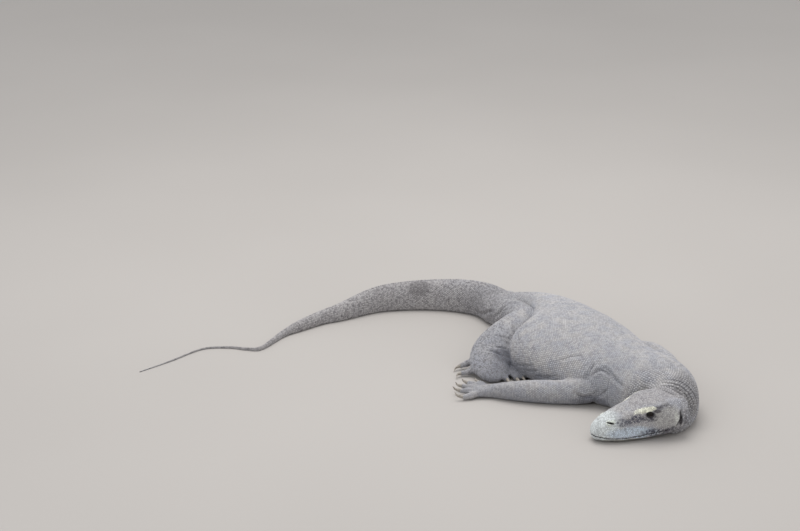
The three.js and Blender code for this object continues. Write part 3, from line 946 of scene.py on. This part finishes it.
def rings_on_skin(guides, tree, surface, head):
    """The rings' scales moved onto the skin, where it is really the skin of their own part."""
    rows = guides[guides[:, PART] != head].copy()
    places, facing, apart = on_skin(surface, rows[:, PLACE])
    kept = (apart < 9) & ((facing * rows[:, OUTWARD]).sum(1) > 0.15)
    rows, places, facing = rows[kept], places[kept], facing[kept]
    nearest, _ = nearest_index(tree, places)
    kept = guides[nearest, PART] == rows[:, PART]
    rows, places, facing = rows[kept], places[kept], facing[kept]
    rows[:, PLACE], rows[:, OUTWARD] = places, facing
    return spaced(rows, 0.66)


def strewn_scales(guides, tree, surface, head, points, fixed):
    """The scales of the head, and those that fill what the rings leave bare."""
    nearest, _ = nearest_index(tree, points)
    pitches = guides[nearest, PITCH].copy()
    on_head = guides[nearest, PART] == head
    pitches[on_head] = pitch_on_head(to_head(points[on_head]))
    chosen = scattered(points, pitches * 1.06, fixed)
    seeds = points[chosen].copy()
    of_head = on_head[chosen]
    seeds[of_head] = settled(seeds[of_head], points[on_head], 5, fixed)
    places, facing, _ = on_skin(surface, seeds)
    rows = guides[nearest[chosen]].copy()
    moved = places - rows[:, PLACE]
    side = np.cross(rows[:, OUTWARD], rows[:, LIE])
    rows[:, U] = np.clip(rows[:, U] + (moved * rows[:, LIE]).sum(1) / rows[:, LENGTH], 0, 1)
    rows[:, V] = (rows[:, V] + (moved * side).sum(1) / rows[:, GIRTH]) % 1
    rows[:, PITCH] = pitches[chosen]
    rows[:, RISE] = np.minimum(rows[:, RISE], 0.33)
    rows[:, PLACE], rows[:, OUTWARD] = places, facing
    return rows


def laid_scales(parts, skin, surface, open_to):
    """Every scale of the coat, as rows; none grows in an opening of the head."""
    guides = np.vstack([crest_scales(parts[0]), *(rings_of_scales(part, i) for i, part in enumerate(parts))])
    tree = tree_of(guides[:, PLACE])
    head = head_number(parts)
    rings = rings_on_skin(guides, tree, surface, head)
    points = points_of(skin)
    spots = np.vstack([points, points[edges_of(skin)].mean(1), centres_of(skin)])
    rows = np.vstack([rings, strewn_scales(guides, tree, surface, head, spots, rings[:, PLACE])])
    nearest, _ = nearest_index(tree_of(points), rows[:, PLACE])
    rows[:, OUTWARD] = unit(rows[:, OUTWARD] + 2 * normals_of(skin)[nearest])
    return rows[open_to[nearest] > 1]


def scale_shapes(rows, directions):
    """Each scale's ways ahead and aside, and how far it reaches each way before it meets a neighbour."""
    tree = tree_of(rows[:, PLACE])
    near = np.array([[f[1] for f in tree.find_n(place, 9)][1:] for place in rows[:, PLACE]])
    rel = rows[near][:, :, PLACE] - rows[:, None, PLACE]
    ahead = unit(rows[:, LIE] - rows[:, OUTWARD] * (rows[:, LIE] * rows[:, OUTWARD]).sum(1)[:, None])
    side = np.cross(rows[:, OUTWARD], ahead)
    x, y = (rel * ahead[:, None]).sum(2), (rel * side[:, None]).sum(2)
    half = (rel**2).sum(2) / 2
    turn = 2 * np.pi * np.arange(directions) / directions
    toward = x[..., None] * np.cos(turn) + y[..., None] * np.sin(turn)
    reach = np.where(toward > 1e-3, half[..., None] / np.maximum(toward, 1e-3), 99).min(1)
    pitch = rows[:, PITCH][:, None]
    return ahead, side, np.clip(reach, 0.25 * pitch, 0.72 * pitch) * CLEAR - 0.06, turn


def settled_feet(surface, foot, rows, sunk):
    """The feet of the higher scales, of neck and limbs, brought down onto the folds of the skin."""
    high = np.flatnonzero((rows[:, RISE] > 0.2) & (rows[:, RISE] < 0.34))
    if not len(high):
        return foot
    spots = foot[high].reshape(-1, 3)
    places, normals, apart = on_skin(surface, spots)
    down = places - normals * sunk[high].repeat(foot.shape[1])[:, None]
    foot[high] = np.where((apart < 3)[:, None], down, spots).reshape(len(high), -1, 3)
    return foot


def scale_points(surface, rows, ahead, side, reach, turn):
    """The points of low domes: the foot all round, the edge of the flat top, and the peak."""
    normal = rows[:, OUTWARD]
    radius = reach.mean(1)
    rise = 2 * radius * rows[:, RISE]
    blade = smoothstep(0.34, 0.6, rows[:, RISE])
    flat = (SHOULDER - 0.34 * blade)[:, None, None]
    around = np.cos(turn)[None, :, None] * ahead[:, None] + np.sin(turn)[None, :, None] * side[:, None]
    sunk = 0.35 + 2 * np.clip(rows[:, RISE] - 0.2, 0, 0.16)
    foot = rows[:, None, PLACE] + around * reach[..., None] - (sunk[:, None] * normal)[:, None]
    foot = settled_feet(surface, foot, rows, sunk)
    shoulder = rows[:, None, PLACE] + around * reach[..., None] * flat
    shoulder = shoulder + normal[:, None] * ((0.7 - 0.2 * blade) * rise)[:, None, None]
    peak = rows[:, PLACE] + normal * rise[:, None] + ahead * ((0.16 + 0.5 * blade) * radius)[:, None]
    points = np.concatenate([foot, shoulder, peak[:, None]], 1)
    points[..., 2] = np.maximum(points[..., 2], CLEAR_OF_FLOOR)
    return points


def scale_faces(count, sides):
    """The triangles of that many scales, each open below."""
    k = np.arange(sides)
    after = (k + 1) % sides
    low = np.stack([k, after, after + sides], 1)
    mid = np.stack([k, after + sides, k + sides], 1)
    cap = np.stack([k + sides, after + sides, np.full(sides, 2 * sides)], 1)
    first = np.arange(count) * (2 * sides + 1)
    return (np.vstack([low, mid, cap])[None] + first[:, None, None]).reshape(-1, 3)


def scale_patches(rows, turn):
    """Where each point of each scale is on the unwrap."""
    sides = len(turn)
    shares = np.concatenate([np.ones(sides), np.full(sides, SHOULDER), [0]])
    angles = np.concatenate([turn, turn, [0]])
    patch = np.stack([np.cos(angles), np.sin(angles)], 1) * shares[:, None] * PATCH
    places = 0.002 + 0.996 * rows[:, [U, V]]
    return (places[:, None] + patch[None]).reshape(-1, 2)


def coat_mesh(name, surface, rows, ahead, side, reach, turn):
    """Some of the scales as one mesh, each with a patch of its own on the unwrap."""
    points = scale_points(surface, rows, ahead, side, reach, turn).reshape(-1, 3)
    faces = scale_faces(len(rows), len(turn))
    mesh = bpy.data.meshes.new(name)
    mesh.vertices.add(len(points))
    mesh.vertices.foreach_set("co", to_row(points).astype(np.float32).ravel())
    mesh.loops.add(len(faces) * 3)
    mesh.loops.foreach_set("vertex_index", faces.astype(np.int32).ravel())
    mesh.polygons.add(len(faces))
    mesh.polygons.foreach_set("loop_start", np.arange(0, len(faces) * 3, 3, dtype=np.int32))
    mesh.polygons.foreach_set("use_smooth", np.ones(len(faces), bool))
    mesh.update(calc_edges=True)
    layer = mesh.uv_layers.new(name="OFBake")
    layer.data.foreach_set("uv", scale_patches(rows, turn)[faces.ravel()].astype(np.float32).ravel())
    return mesh


# ---- Materials ----


def linear(red, green, blue):
    """A colour written as it is seen, 0 to 255, for a shader."""
    seen = np.array([red, green, blue]) / 255
    return (*np.where(seen <= 0.04045, seen / 12.92, ((seen + 0.055) / 1.055) ** 2.4), 1.0)


# The hide's own colours; the third also darkens the skin between the scales as painted shade, and the last
# is painted shade deep in the openings of the head.
DUST = linear(190, 188, 188)
SLATE = linear(174, 175, 181)
DARK_SPECKS_AND_SHADE = linear(98, 95, 98)
# Painted shade deep in the openings of the head.
SHADOW_IN_OPENINGS = linear(40, 36, 38)

# Marks in the plan, painted shade where noted: centre, reach in x, y and z, colour, strength.
BODY_MARKS = {
    "tail": ((-470, -20, 20), (480, 300, 200), (176, 173, 173), 0.85),
    "tail spot": ((-203, 103, 60), (27, 26, 22), (104, 101, 102), 0.5),
    "hip": ((0, 30, 30), (120, 90, 80), (152, 151, 154), 0.6),
    "thigh": ((20, -70, 60), (80, 80, 60), (158, 158, 162), 0.5),
    "shank": ((-40, -240, 30), (70, 90, 60), (164, 166, 173), 0.5),
    # Darker low on the flank: partly the hide's own darker belly, and partly painted shade of the lower
    # side, which the light reaches less.
    "low flank and its shade": ((90, -350, 0), (200, 130, 52), (128, 131, 141), 0.7),
    "shoulder": ((205, -480, 60), (70, 34, 50), (158, 161, 169), 0.5),
    # Painted shade under the elbow, where it hangs over the floor.
    "elbow": ((162, -486, 12), (44, 18, 20), (118, 120, 130), 0.75),
    "ankle": ((-12, -284, 36), (28, 24, 26), (112, 114, 124), 0.6),
    "neck folds": ((362, -560, 70), (40, 56, 46), (142, 140, 141), 0.6),
}
# Marks on both sides of the head, painted shade where noted: along, out, up. The mottled ones are broken up,
# the pale ones aren't speckled, and the exact ones have no ragged edge.
HEAD_MARKS = {
    "snout": ((192, 0, 34), (52, 52, 36), (226, 232, 232), 0.95),
    "crown": ((84, 0, 84), (80, 36, 14), (172, 169, 170), 0.6),
    "lip": ((132, 40, 22), (68, 18, 14), (202, 213, 224), 0.95),
    "cheek": ((58, 52, 54), (36, 14, 26), (188, 186, 182), 0.7),
    "jaw": ((150, 34, 4), (60, 30, 6), (170, 171, 156), 0.6),
}
MOTTLED_HEAD_MARKS = {
    "lore": ((120, 37, 52), (17, 12, 10), (76, 77, 92), 0.95),
    "front of the lore": ((145, 30, 46), (21, 12, 9), (92, 94, 106), 0.9),
    "under the eye": ((94, 46, 54), (20, 12, 8), (62, 61, 73), 0.95),
    # Painted shade at the corner of the mouth and under the rear of the jaw.
    "shade at the rear lip": ((78, 50, 19), (36, 16, 12), (60, 58, 72), 0.95),
    "under the ear": ((36, 52, 22), (24, 14, 10), (86, 84, 92), 0.85),
    # Painted shade in the furrow of the temple.
    "temple": ((62, 45, 75), (26, 8, 5), (92, 90, 94), 0.8),
    # Painted shade behind the ear.
    "shade behind the ear": ((6, 54, 48), (14, 12, 34), (104, 102, 105), 0.75),
}
PALE_HEAD_MARKS = {
    "front of the brow": ((116, 34, 67), (15, 8, 5.5), (236, 236, 222), 0.9),
    "middle of the brow": ((104, 38, 70.5), (15, 8, 6), (243, 243, 224), 1.0),
    "brow": ((91, 41, 74), (15, 8, 5.5), (243, 243, 224), 1.0),
    "nostril rim": ((173, 22, 46), (11, 7, 7), (226, 232, 222), 0.8),
    "ear rim": ((34, 55, 48), (4.5, 9, 21), (216, 217, 210), 0.8),
}
EXACT_HEAD_MARKS = {
    # Painted shade in the opening of the ear.
    "ear": ((24, 53, 50), (4.0, 9, 20), (50, 46, 48), 0.95),
    # Partly the dark skin round the eye, and partly painted shade of the lids.
    "eyelids": ((91, 46, 61.0), (12, 10, 7.4), (46, 42, 47), 0.95),
    # Painted shade where the furrow of the temple starts, behind the eye.
    "shade behind the eye": ((76, 46, 68), (9, 6, 4), (62, 58, 64), 0.8),
}


def plug(tree, value, socket):
    """Sets a socket to a number or a colour, or links it to another node's output."""
    if isinstance(value, bpy.types.NodeSocket):
        tree.links.new(value, socket)
    else:
        socket.default_value = value


def add(tree, kind, inputs=None, **settings):
    """A new shader node."""
    node = tree.nodes.new("ShaderNode" + kind)
    for name, value in settings.items():
        setattr(node, name, value)
    for name, value in (inputs or {}).items():
        plug(tree, value, node.inputs[name])
    return node


def mixed(tree, share, a, b, blend="MIX"):
    node = add(tree, "Mix", data_type="RGBA", blend_type=blend)
    for slot, value in {"Factor_Float": share, "A_Color": a, "B_Color": b}.items():
        plug(tree, value, next(s for s in node.inputs if s.identifier == slot))
    return next(s for s in node.outputs if s.identifier == "Result_Color")


def times(tree, a, b):
    return add(tree, "Math", {0: a, 1: b}, operation="MULTIPLY").outputs[0]


def ranged(tree, value, from_low, from_high, to_low=0.0, to_high=1.0):
    inputs = {"From Min": from_low, "From Max": from_high, "To Min": to_low, "To Max": to_high}
    node = add(tree, "MapRange", {"Value": value, **inputs}, interpolation_type="SMOOTHSTEP")
    return node.outputs["Result"]


def noise(tree, where, scale, detail=3.0, roughness=0.55):
    inputs = {"Vector": where, "Scale": scale, "Detail": detail, "Roughness": roughness}
    return add(tree, "TexNoise", inputs)


def vector(tree, operation, a, b=None):
    inputs = {0: a} if b is None else {0: a, 1: b}
    return add(tree, "VectorMath", inputs, operation=operation)


def mark(tree, where, centre, reach, strength):
    """A strength inside a soft-edged ellipsoid, and 0 outside it."""
    away = vector(tree, "DIVIDE", vector(tree, "SUBTRACT", where, centre).outputs[0], reach)
    apart = vector(tree, "LENGTH", away.outputs[0]).outputs["Value"]
    return ranged(tree, apart, 1.25, 0.7, 0.0, strength)


def marked(tree, where, colour, marks, broken=None):
    """A colour with each of some marks laid over it, markings of the hide and patches of painted shade
    alike.
    """
    for centre, reach, tint, strength in marks.values():
        share = mark(tree, where, centre, reach, strength)
        if broken is not None:
            share = times(tree, share, broken)
        colour = mixed(tree, share, colour, linear(*tint))
    return colour


def plan_coordinates(tree):
    """Millimetres in the plan, and the same pushed about a little, to give markings a ragged edge."""
    place = add(tree, "TexCoord").outputs["Object"]
    grown = vector(tree, "SCALE", place)
    grown.inputs["Scale"].default_value = 1 / MM
    plan = vector(tree, "SUBTRACT", grown.outputs[0], tuple(PLAN_ORIGIN)).outputs[0]
    ragged = vector(tree, "SUBTRACT", noise(tree, plan, 0.07, 3.0).outputs["Color"], (0.5, 0.5, 0.5))
    shift = vector(tree, "MULTIPLY", ragged.outputs[0], (13, 13, 13))
    return plan, vector(tree, "ADD", plan, shift.outputs[0]).outputs[0]


def head_coordinates(tree, plan):
    """Millimetres along the head, out from its middle to either side, and up."""
    centred = vector(tree, "SUBTRACT", plan, (*HEAD_REAR, 0)).outputs[0]
    turn = (0, 0, -math.radians(HEAD_HEADING))
    turned = add(tree, "VectorRotate", {"Vector": centred, "Rotation": turn}, rotation_type="EULER_XYZ")
    parts = add(tree, "SeparateXYZ", {"Vector": turned.outputs[0]})
    out = add(tree, "Math", {0: parts.outputs["Y"]}, operation="ABSOLUTE").outputs[0]
    inputs = {"X": parts.outputs["X"], "Y": out, "Z": parts.outputs["Z"]}
    return add(tree, "CombineXYZ", inputs).outputs[0]


def speckling(tree, plan):
    """0 on the trunk, whose hide is dusty and even, half on the head, and up to 1 on tail and hind legs."""
    parts = add(tree, "SeparateXYZ", {"Vector": plan})
    behind = ranged(tree, parts.outputs["X"], 90, -60)
    above = ranged(tree, parts.outputs["Y"], -420, -330)
    legs = times(tree, behind, ranged(tree, above, 0, 1, 0.4, 1))
    head = mark(tree, plan, tuple(from_head([105, 0, 30])), (130, 110, 80), 0.5)
    return add(tree, "Math", {0: legs, 1: head}, operation="MAXIMUM").outputs[0]


def hide_colour(tree):
    """The plan's coordinates, the markings and painted shade that skin and scales share, and how speckled
    each place is.
    """
    plan, ragged = plan_coordinates(tree)
    clouds = ranged(tree, noise(tree, plan, 0.035, 5.0, 0.65).outputs["Fac"], 0.34, 0.66)
    colour = mixed(tree, clouds, DUST, SLATE)
    colour = marked(tree, ragged, colour, BODY_MARKS)
    head = head_coordinates(tree, ragged)
    colour = marked(tree, head, colour, HEAD_MARKS)
    broken = ranged(tree, noise(tree, plan, 0.22, 3.0, 0.7).outputs["Fac"], 0.38, 0.6, 0.1, 1)
    colour = marked(tree, head, colour, MOTTLED_HEAD_MARKS, broken)
    speckled = speckling(tree, plan)
    specks = ranged(tree, noise(tree, plan, 0.13, 3.0, 0.8).outputs["Fac"], 0.5, 0.68)
    colour = mixed(tree, times(tree, specks, ranged(tree, speckled, 0, 1, 0.2, 0.65)), colour, DARK_SPECKS_AND_SHADE)
    colour = marked(tree, head, colour, PALE_HEAD_MARKS)
    return plan, marked(tree, head_coordinates(tree, plan), colour, EXACT_HEAD_MARKS), speckled


def principled(name, roughness, specular=0.5):
    """A new material, its node tree and its shader."""
    material = bpy.data.materials.new(name)
    material.use_nodes = True
    shader = material.node_tree.nodes["Principled BSDF"]
    shader.inputs["Roughness"].default_value = roughness
    shader.inputs["Specular IOR Level"].default_value = specular
    return material, material.node_tree, shader


def bumped(tree, shader, height, distance):
    """Fine relief, that many metres high."""
    made = add(tree, "Bump", {"Height": height, "Distance": distance, "Strength": 1.0})
    tree.links.new(made.outputs["Normal"], shader.inputs["Normal"])


def skin_material():
    """The soft skin between the scales, creased, and darkened all over as painted shade in the creases
    between them.
    """
    material, tree, shader = principled("hide", 0.85, 0.25)
    plan, colour, _ = hide_colour(tree)
    # Painted shade: the skin between the scales is darkened for the shade that falls in the creases between
    # them.
    colour = mixed(tree, 0.42, colour, DARK_SPECKS_AND_SHADE, "MULTIPLY")
    tree.links.new(colour, shader.inputs["Base Color"])
    bumped(tree, shader, noise(tree, plan, 0.9, 4.0).outputs["Fac"], 0.0006)
    return material


def opening_shade_material():
    """The moist skin inside the lids, nostrils, ears and lips, painted near-black as the shade deep in these
    openings.
    """
    material, tree, shader = principled("opening_shade", 0.6)
    plan, _ = plan_coordinates(tree)
    tone = ranged(tree, noise(tree, plan, 0.6, 3.0).outputs["Fac"], 0.35, 0.65)
    # Painted shade: near-black in the openings, where little light reaches.
    tree.links.new(mixed(tree, tone, SHADOW_IN_OPENINGS, linear(62, 55, 56)), shader.inputs["Base Color"])
    bumped(tree, shader, noise(tree, plan, 1.4, 3.0).outputs["Fac"], 0.0003)
    return material


def scale_material():
    """Dusty horn scales, each a little lighter or darker than the next."""
    material, tree, shader = principled("scales", 0.75, 0.35)
    plan, colour, speckled = hide_colour(tree)
    each = add(tree, "NewGeometry").outputs["Random Per Island"]
    dark = times(tree, ranged(tree, each, 0.25, 1), ranged(tree, speckled, 0, 1, 0.34, 0.6))
    colour = mixed(tree, dark, colour, DARK_SPECKS_AND_SHADE)
    tree.links.new(colour, shader.inputs["Base Color"])
    rough = ranged(tree, noise(tree, plan, 0.3, 3.0).outputs["Fac"], 0.3, 0.7, 0.64, 0.86)
    tree.links.new(rough, shader.inputs["Roughness"])
    bumped(tree, shader, noise(tree, plan, 1.6, 3.0).outputs["Fac"], 0.0003)
    return material


def horn_material():
    """Worn horn, dusty in patches, and darker where the dust is rubbed off."""
    material, tree, shader = principled("claw", 0.5)
    place = add(tree, "TexCoord").outputs["Object"]
    streaks = ranged(tree, noise(tree, place, 420, 5.0, 0.7).outputs["Fac"], 0.4, 0.66)
    colour = mixed(tree, streaks, linear(136, 129, 121), linear(188, 182, 172))
    tree.links.new(colour, shader.inputs["Base Color"])
    bumped(tree, shader, streaks, 0.0002)
    return material


def eye_material(side):
    """A wet dark brown eye with a round pupil."""
    material, tree, shader = principled("eye_left" if side > 0 else "eye_right", 0.12, 0.4)
    place = add(tree, "TexCoord").outputs["Object"]
    front = to_row(eye_centre(side) + gaze(side) * EYE["radius"])
    apart = vector(tree, "DISTANCE", place, tuple(front)).outputs["Value"]
    iris = mixed(tree, ranged(tree, apart, 0.0031, 0.0037), linear(30, 21, 15), linear(12, 10, 9))
    colour = mixed(tree, ranged(tree, apart, 0.0016, 0.0020), linear(6, 5, 5), iris)
    tree.links.new(colour, shader.inputs["Base Color"])
    shader.inputs["IOR"].default_value = 1.34
    return material


def floor_material():
    """Plain pale grey."""
    material, tree, shader = principled("floor", 0.9)
    place = add(tree, "TexCoord").outputs["Object"]
    tone = ranged(tree, noise(tree, place, 0.8, 2.0).outputs["Fac"], 0.3, 0.7)
    colour = mixed(tree, tone, linear(176, 172, 168), linear(179, 175, 171))
    tree.links.new(colour, shader.inputs["Base Color"])
    return material


# ---- Pieces ----


def add_skin(parts, materials):
    """One skin for the whole animal; returns its scales, as rows, and its surface in the plan."""
    skin, open_to = made_skin(parts)
    points = points_of(skin)
    faces = [tuple(p.vertices) for p in skin.polygons]
    more, tail_faces = thin_tail()
    faces += [tuple(v + len(points) for v in face) for face in tail_faces]
    whole = mesh_of("skin", np.vstack([points, more]), faces)
    open_to = np.concatenate([open_to, np.full(len(more), 9)])
    surface = BVHTree.FromPolygons(points_of(whole).tolist(), faces)
    laid = laid_scales(parts, whole, surface, open_to)
    for material in materials:
        whole.materials.append(material)
    # Faces round the openings of the head get the painted shade.
    in_opening_shade = [bool(open_to[list(p.vertices)].mean() < 0.75) for p in whole.polygons]
    whole.polygons.foreach_set("material_index", np.array(in_opening_shade, np.int32))
    set_points(whole, to_row(points_of(whole)))
    shade_smooth(whole)
    obj = shown("skin", whole)
    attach(obj, "root")
    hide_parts(*FLESH)
    return laid, surface


def add_coat(parts, rows, surface, material):
    """The scales of body, head and limbs, in pieces that a mesh can hold."""
    groups = {"body": rows[:, PART] == 0, "head": rows[:, PART] == head_number(parts)}
    groups["limbs"] = ~groups["body"] & ~groups["head"]
    for name, chosen in groups.items():
        ahead, side, reach, turn = scale_shapes(rows, 8 if name == "head" else 6)
        order = np.flatnonzero(chosen)
        order = order[np.lexsort((rows[order, U], rows[order, PART]))]
        pieces = max(1, math.ceil(len(order) / COAT_PIECE))
        for number, some in enumerate(np.array_split(order, pieces), 1):
            title = f"scales_{name}_{number}"
            mesh = coat_mesh(title, surface, rows[some], ahead[some], side[some], reach[some], turn)
            mesh.materials.append(material)
            obj = shown(title, mesh)
            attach(obj, "root")


def add_claws(material):
    """A claw of horn on each digit, in place of its solid."""
    for name, hand in HANDS.items():
        for number, digit in enumerate(hand["digits"], 1):
            stations = claw_stations(hand, digit)
            along = np.linspace(0, len(stations) - 1, 20)
            points, faces = loft([limb_ring(stations, t, 16, 0) for t in along])
            points[:, 2] = np.maximum(points[:, 2], CLEAR_OF_FLOOR)
            node = f"claw_{name}_{number}"
            mesh = mesh_of(node, to_row(points), faces)
            shade_smooth(mesh)
            mesh.materials.append(material)
            obj = shown("horn_" + node, mesh)
            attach(obj, "root")
            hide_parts(node)


def add_eyes():
    """Two eyeballs, each with a slight bulge where it looks out."""
    for side, node in ((1, "eye_left"), (-1, "eye_right")):
        cut = bmesh.new()
        bmesh.ops.create_uvsphere(cut, u_segments=48, v_segments=32, radius=EYE["radius"] * MM)
        mesh = bpy.data.meshes.new("ball_" + node)
        cut.to_mesh(mesh)
        cut.free()
        points = points_of(mesh)
        cornea = smoothstep(0.86, 1.0, (unit(points) * gaze(side)).sum(1))
        points *= (1 + 0.05 * cornea)[:, None]
        set_points(mesh, points + to_row(eye_centre(side)))
        shade_smooth(mesh)
        mesh.materials.append(eye_material(side))
        obj = shown("ball_" + node, mesh)
        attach(obj, "root")
        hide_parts(node)


def add_floor():
    """A plain floor, far wider than the picture shows."""
    size = 30
    corners = [(-size, -size, 0), (size, -size, 0), (size, size, 0), (-size, size, 0)]
    mesh = mesh_of("floor", corners, [(0, 1, 2, 3)])
    mesh.materials.append(floor_material())
    shown("floor", mesh)


def add_light(name, place, aim, size, power, colour):
    """A round soft light."""
    data = bpy.data.lights.new(name, "AREA")
    data.shape = "DISK"
    data.size = size
    data.energy = power
    data.color = colour
    lamp = bpy.data.objects.new(name, data)
    bpy.context.scene.collection.objects.link(lamp)
    lamp.location = place
    toward = np.array(aim, float) - np.array(place, float)
    lamp.rotation_euler = Vector(toward).to_track_quat("-Z", "Y").to_euler()


def add_lights():
    """Soft studio light: a bright sky, a key from above and a weak fill from the front."""
    world = bpy.data.worlds.new("world")
    world.use_nodes = True
    background = world.node_tree.nodes["Background"]
    background.inputs["Color"].default_value = (0.98, 0.985, 1.0, 1)
    background.inputs["Strength"].default_value = 0.8
    bpy.context.scene.world = world
    add_light("key", (0.2, 0.5, 3.0), (0.3, -0.1, 0), 2.6, 56, (1.0, 0.98, 0.96))
    add_light("fill", (-1.8, -2.6, 2.2), (0.2, -0.1, 0), 2.0, 14, (0.96, 0.98, 1.0))


def add_camera():
    """An eye-level view from about 3.9 metres, tilted down."""
    data = bpy.data.cameras.new("camera")
    data.sensor_width = 36
    data.lens = CAMERA["focal_px"] / CAMERA["width_px"] * data.sensor_width
    camera = bpy.data.objects.new("camera", data)
    bpy.context.scene.collection.objects.link(camera)
    camera.location = to_row(CAMERA["place"])
    camera.rotation_euler = (math.radians(90 - CAMERA["pitch"]), 0, 0)
    bpy.context.scene.camera = camera


bpy.context.scene.view_settings.view_transform = "Standard"
parts = flesh_parts()
scale_rows, skin_surface = add_skin(parts, [skin_material(), opening_shade_material()])
add_coat(parts, scale_rows, skin_surface, scale_material())
add_claws(horn_material())
add_eyes()
add_floor()
add_lights()
add_camera()
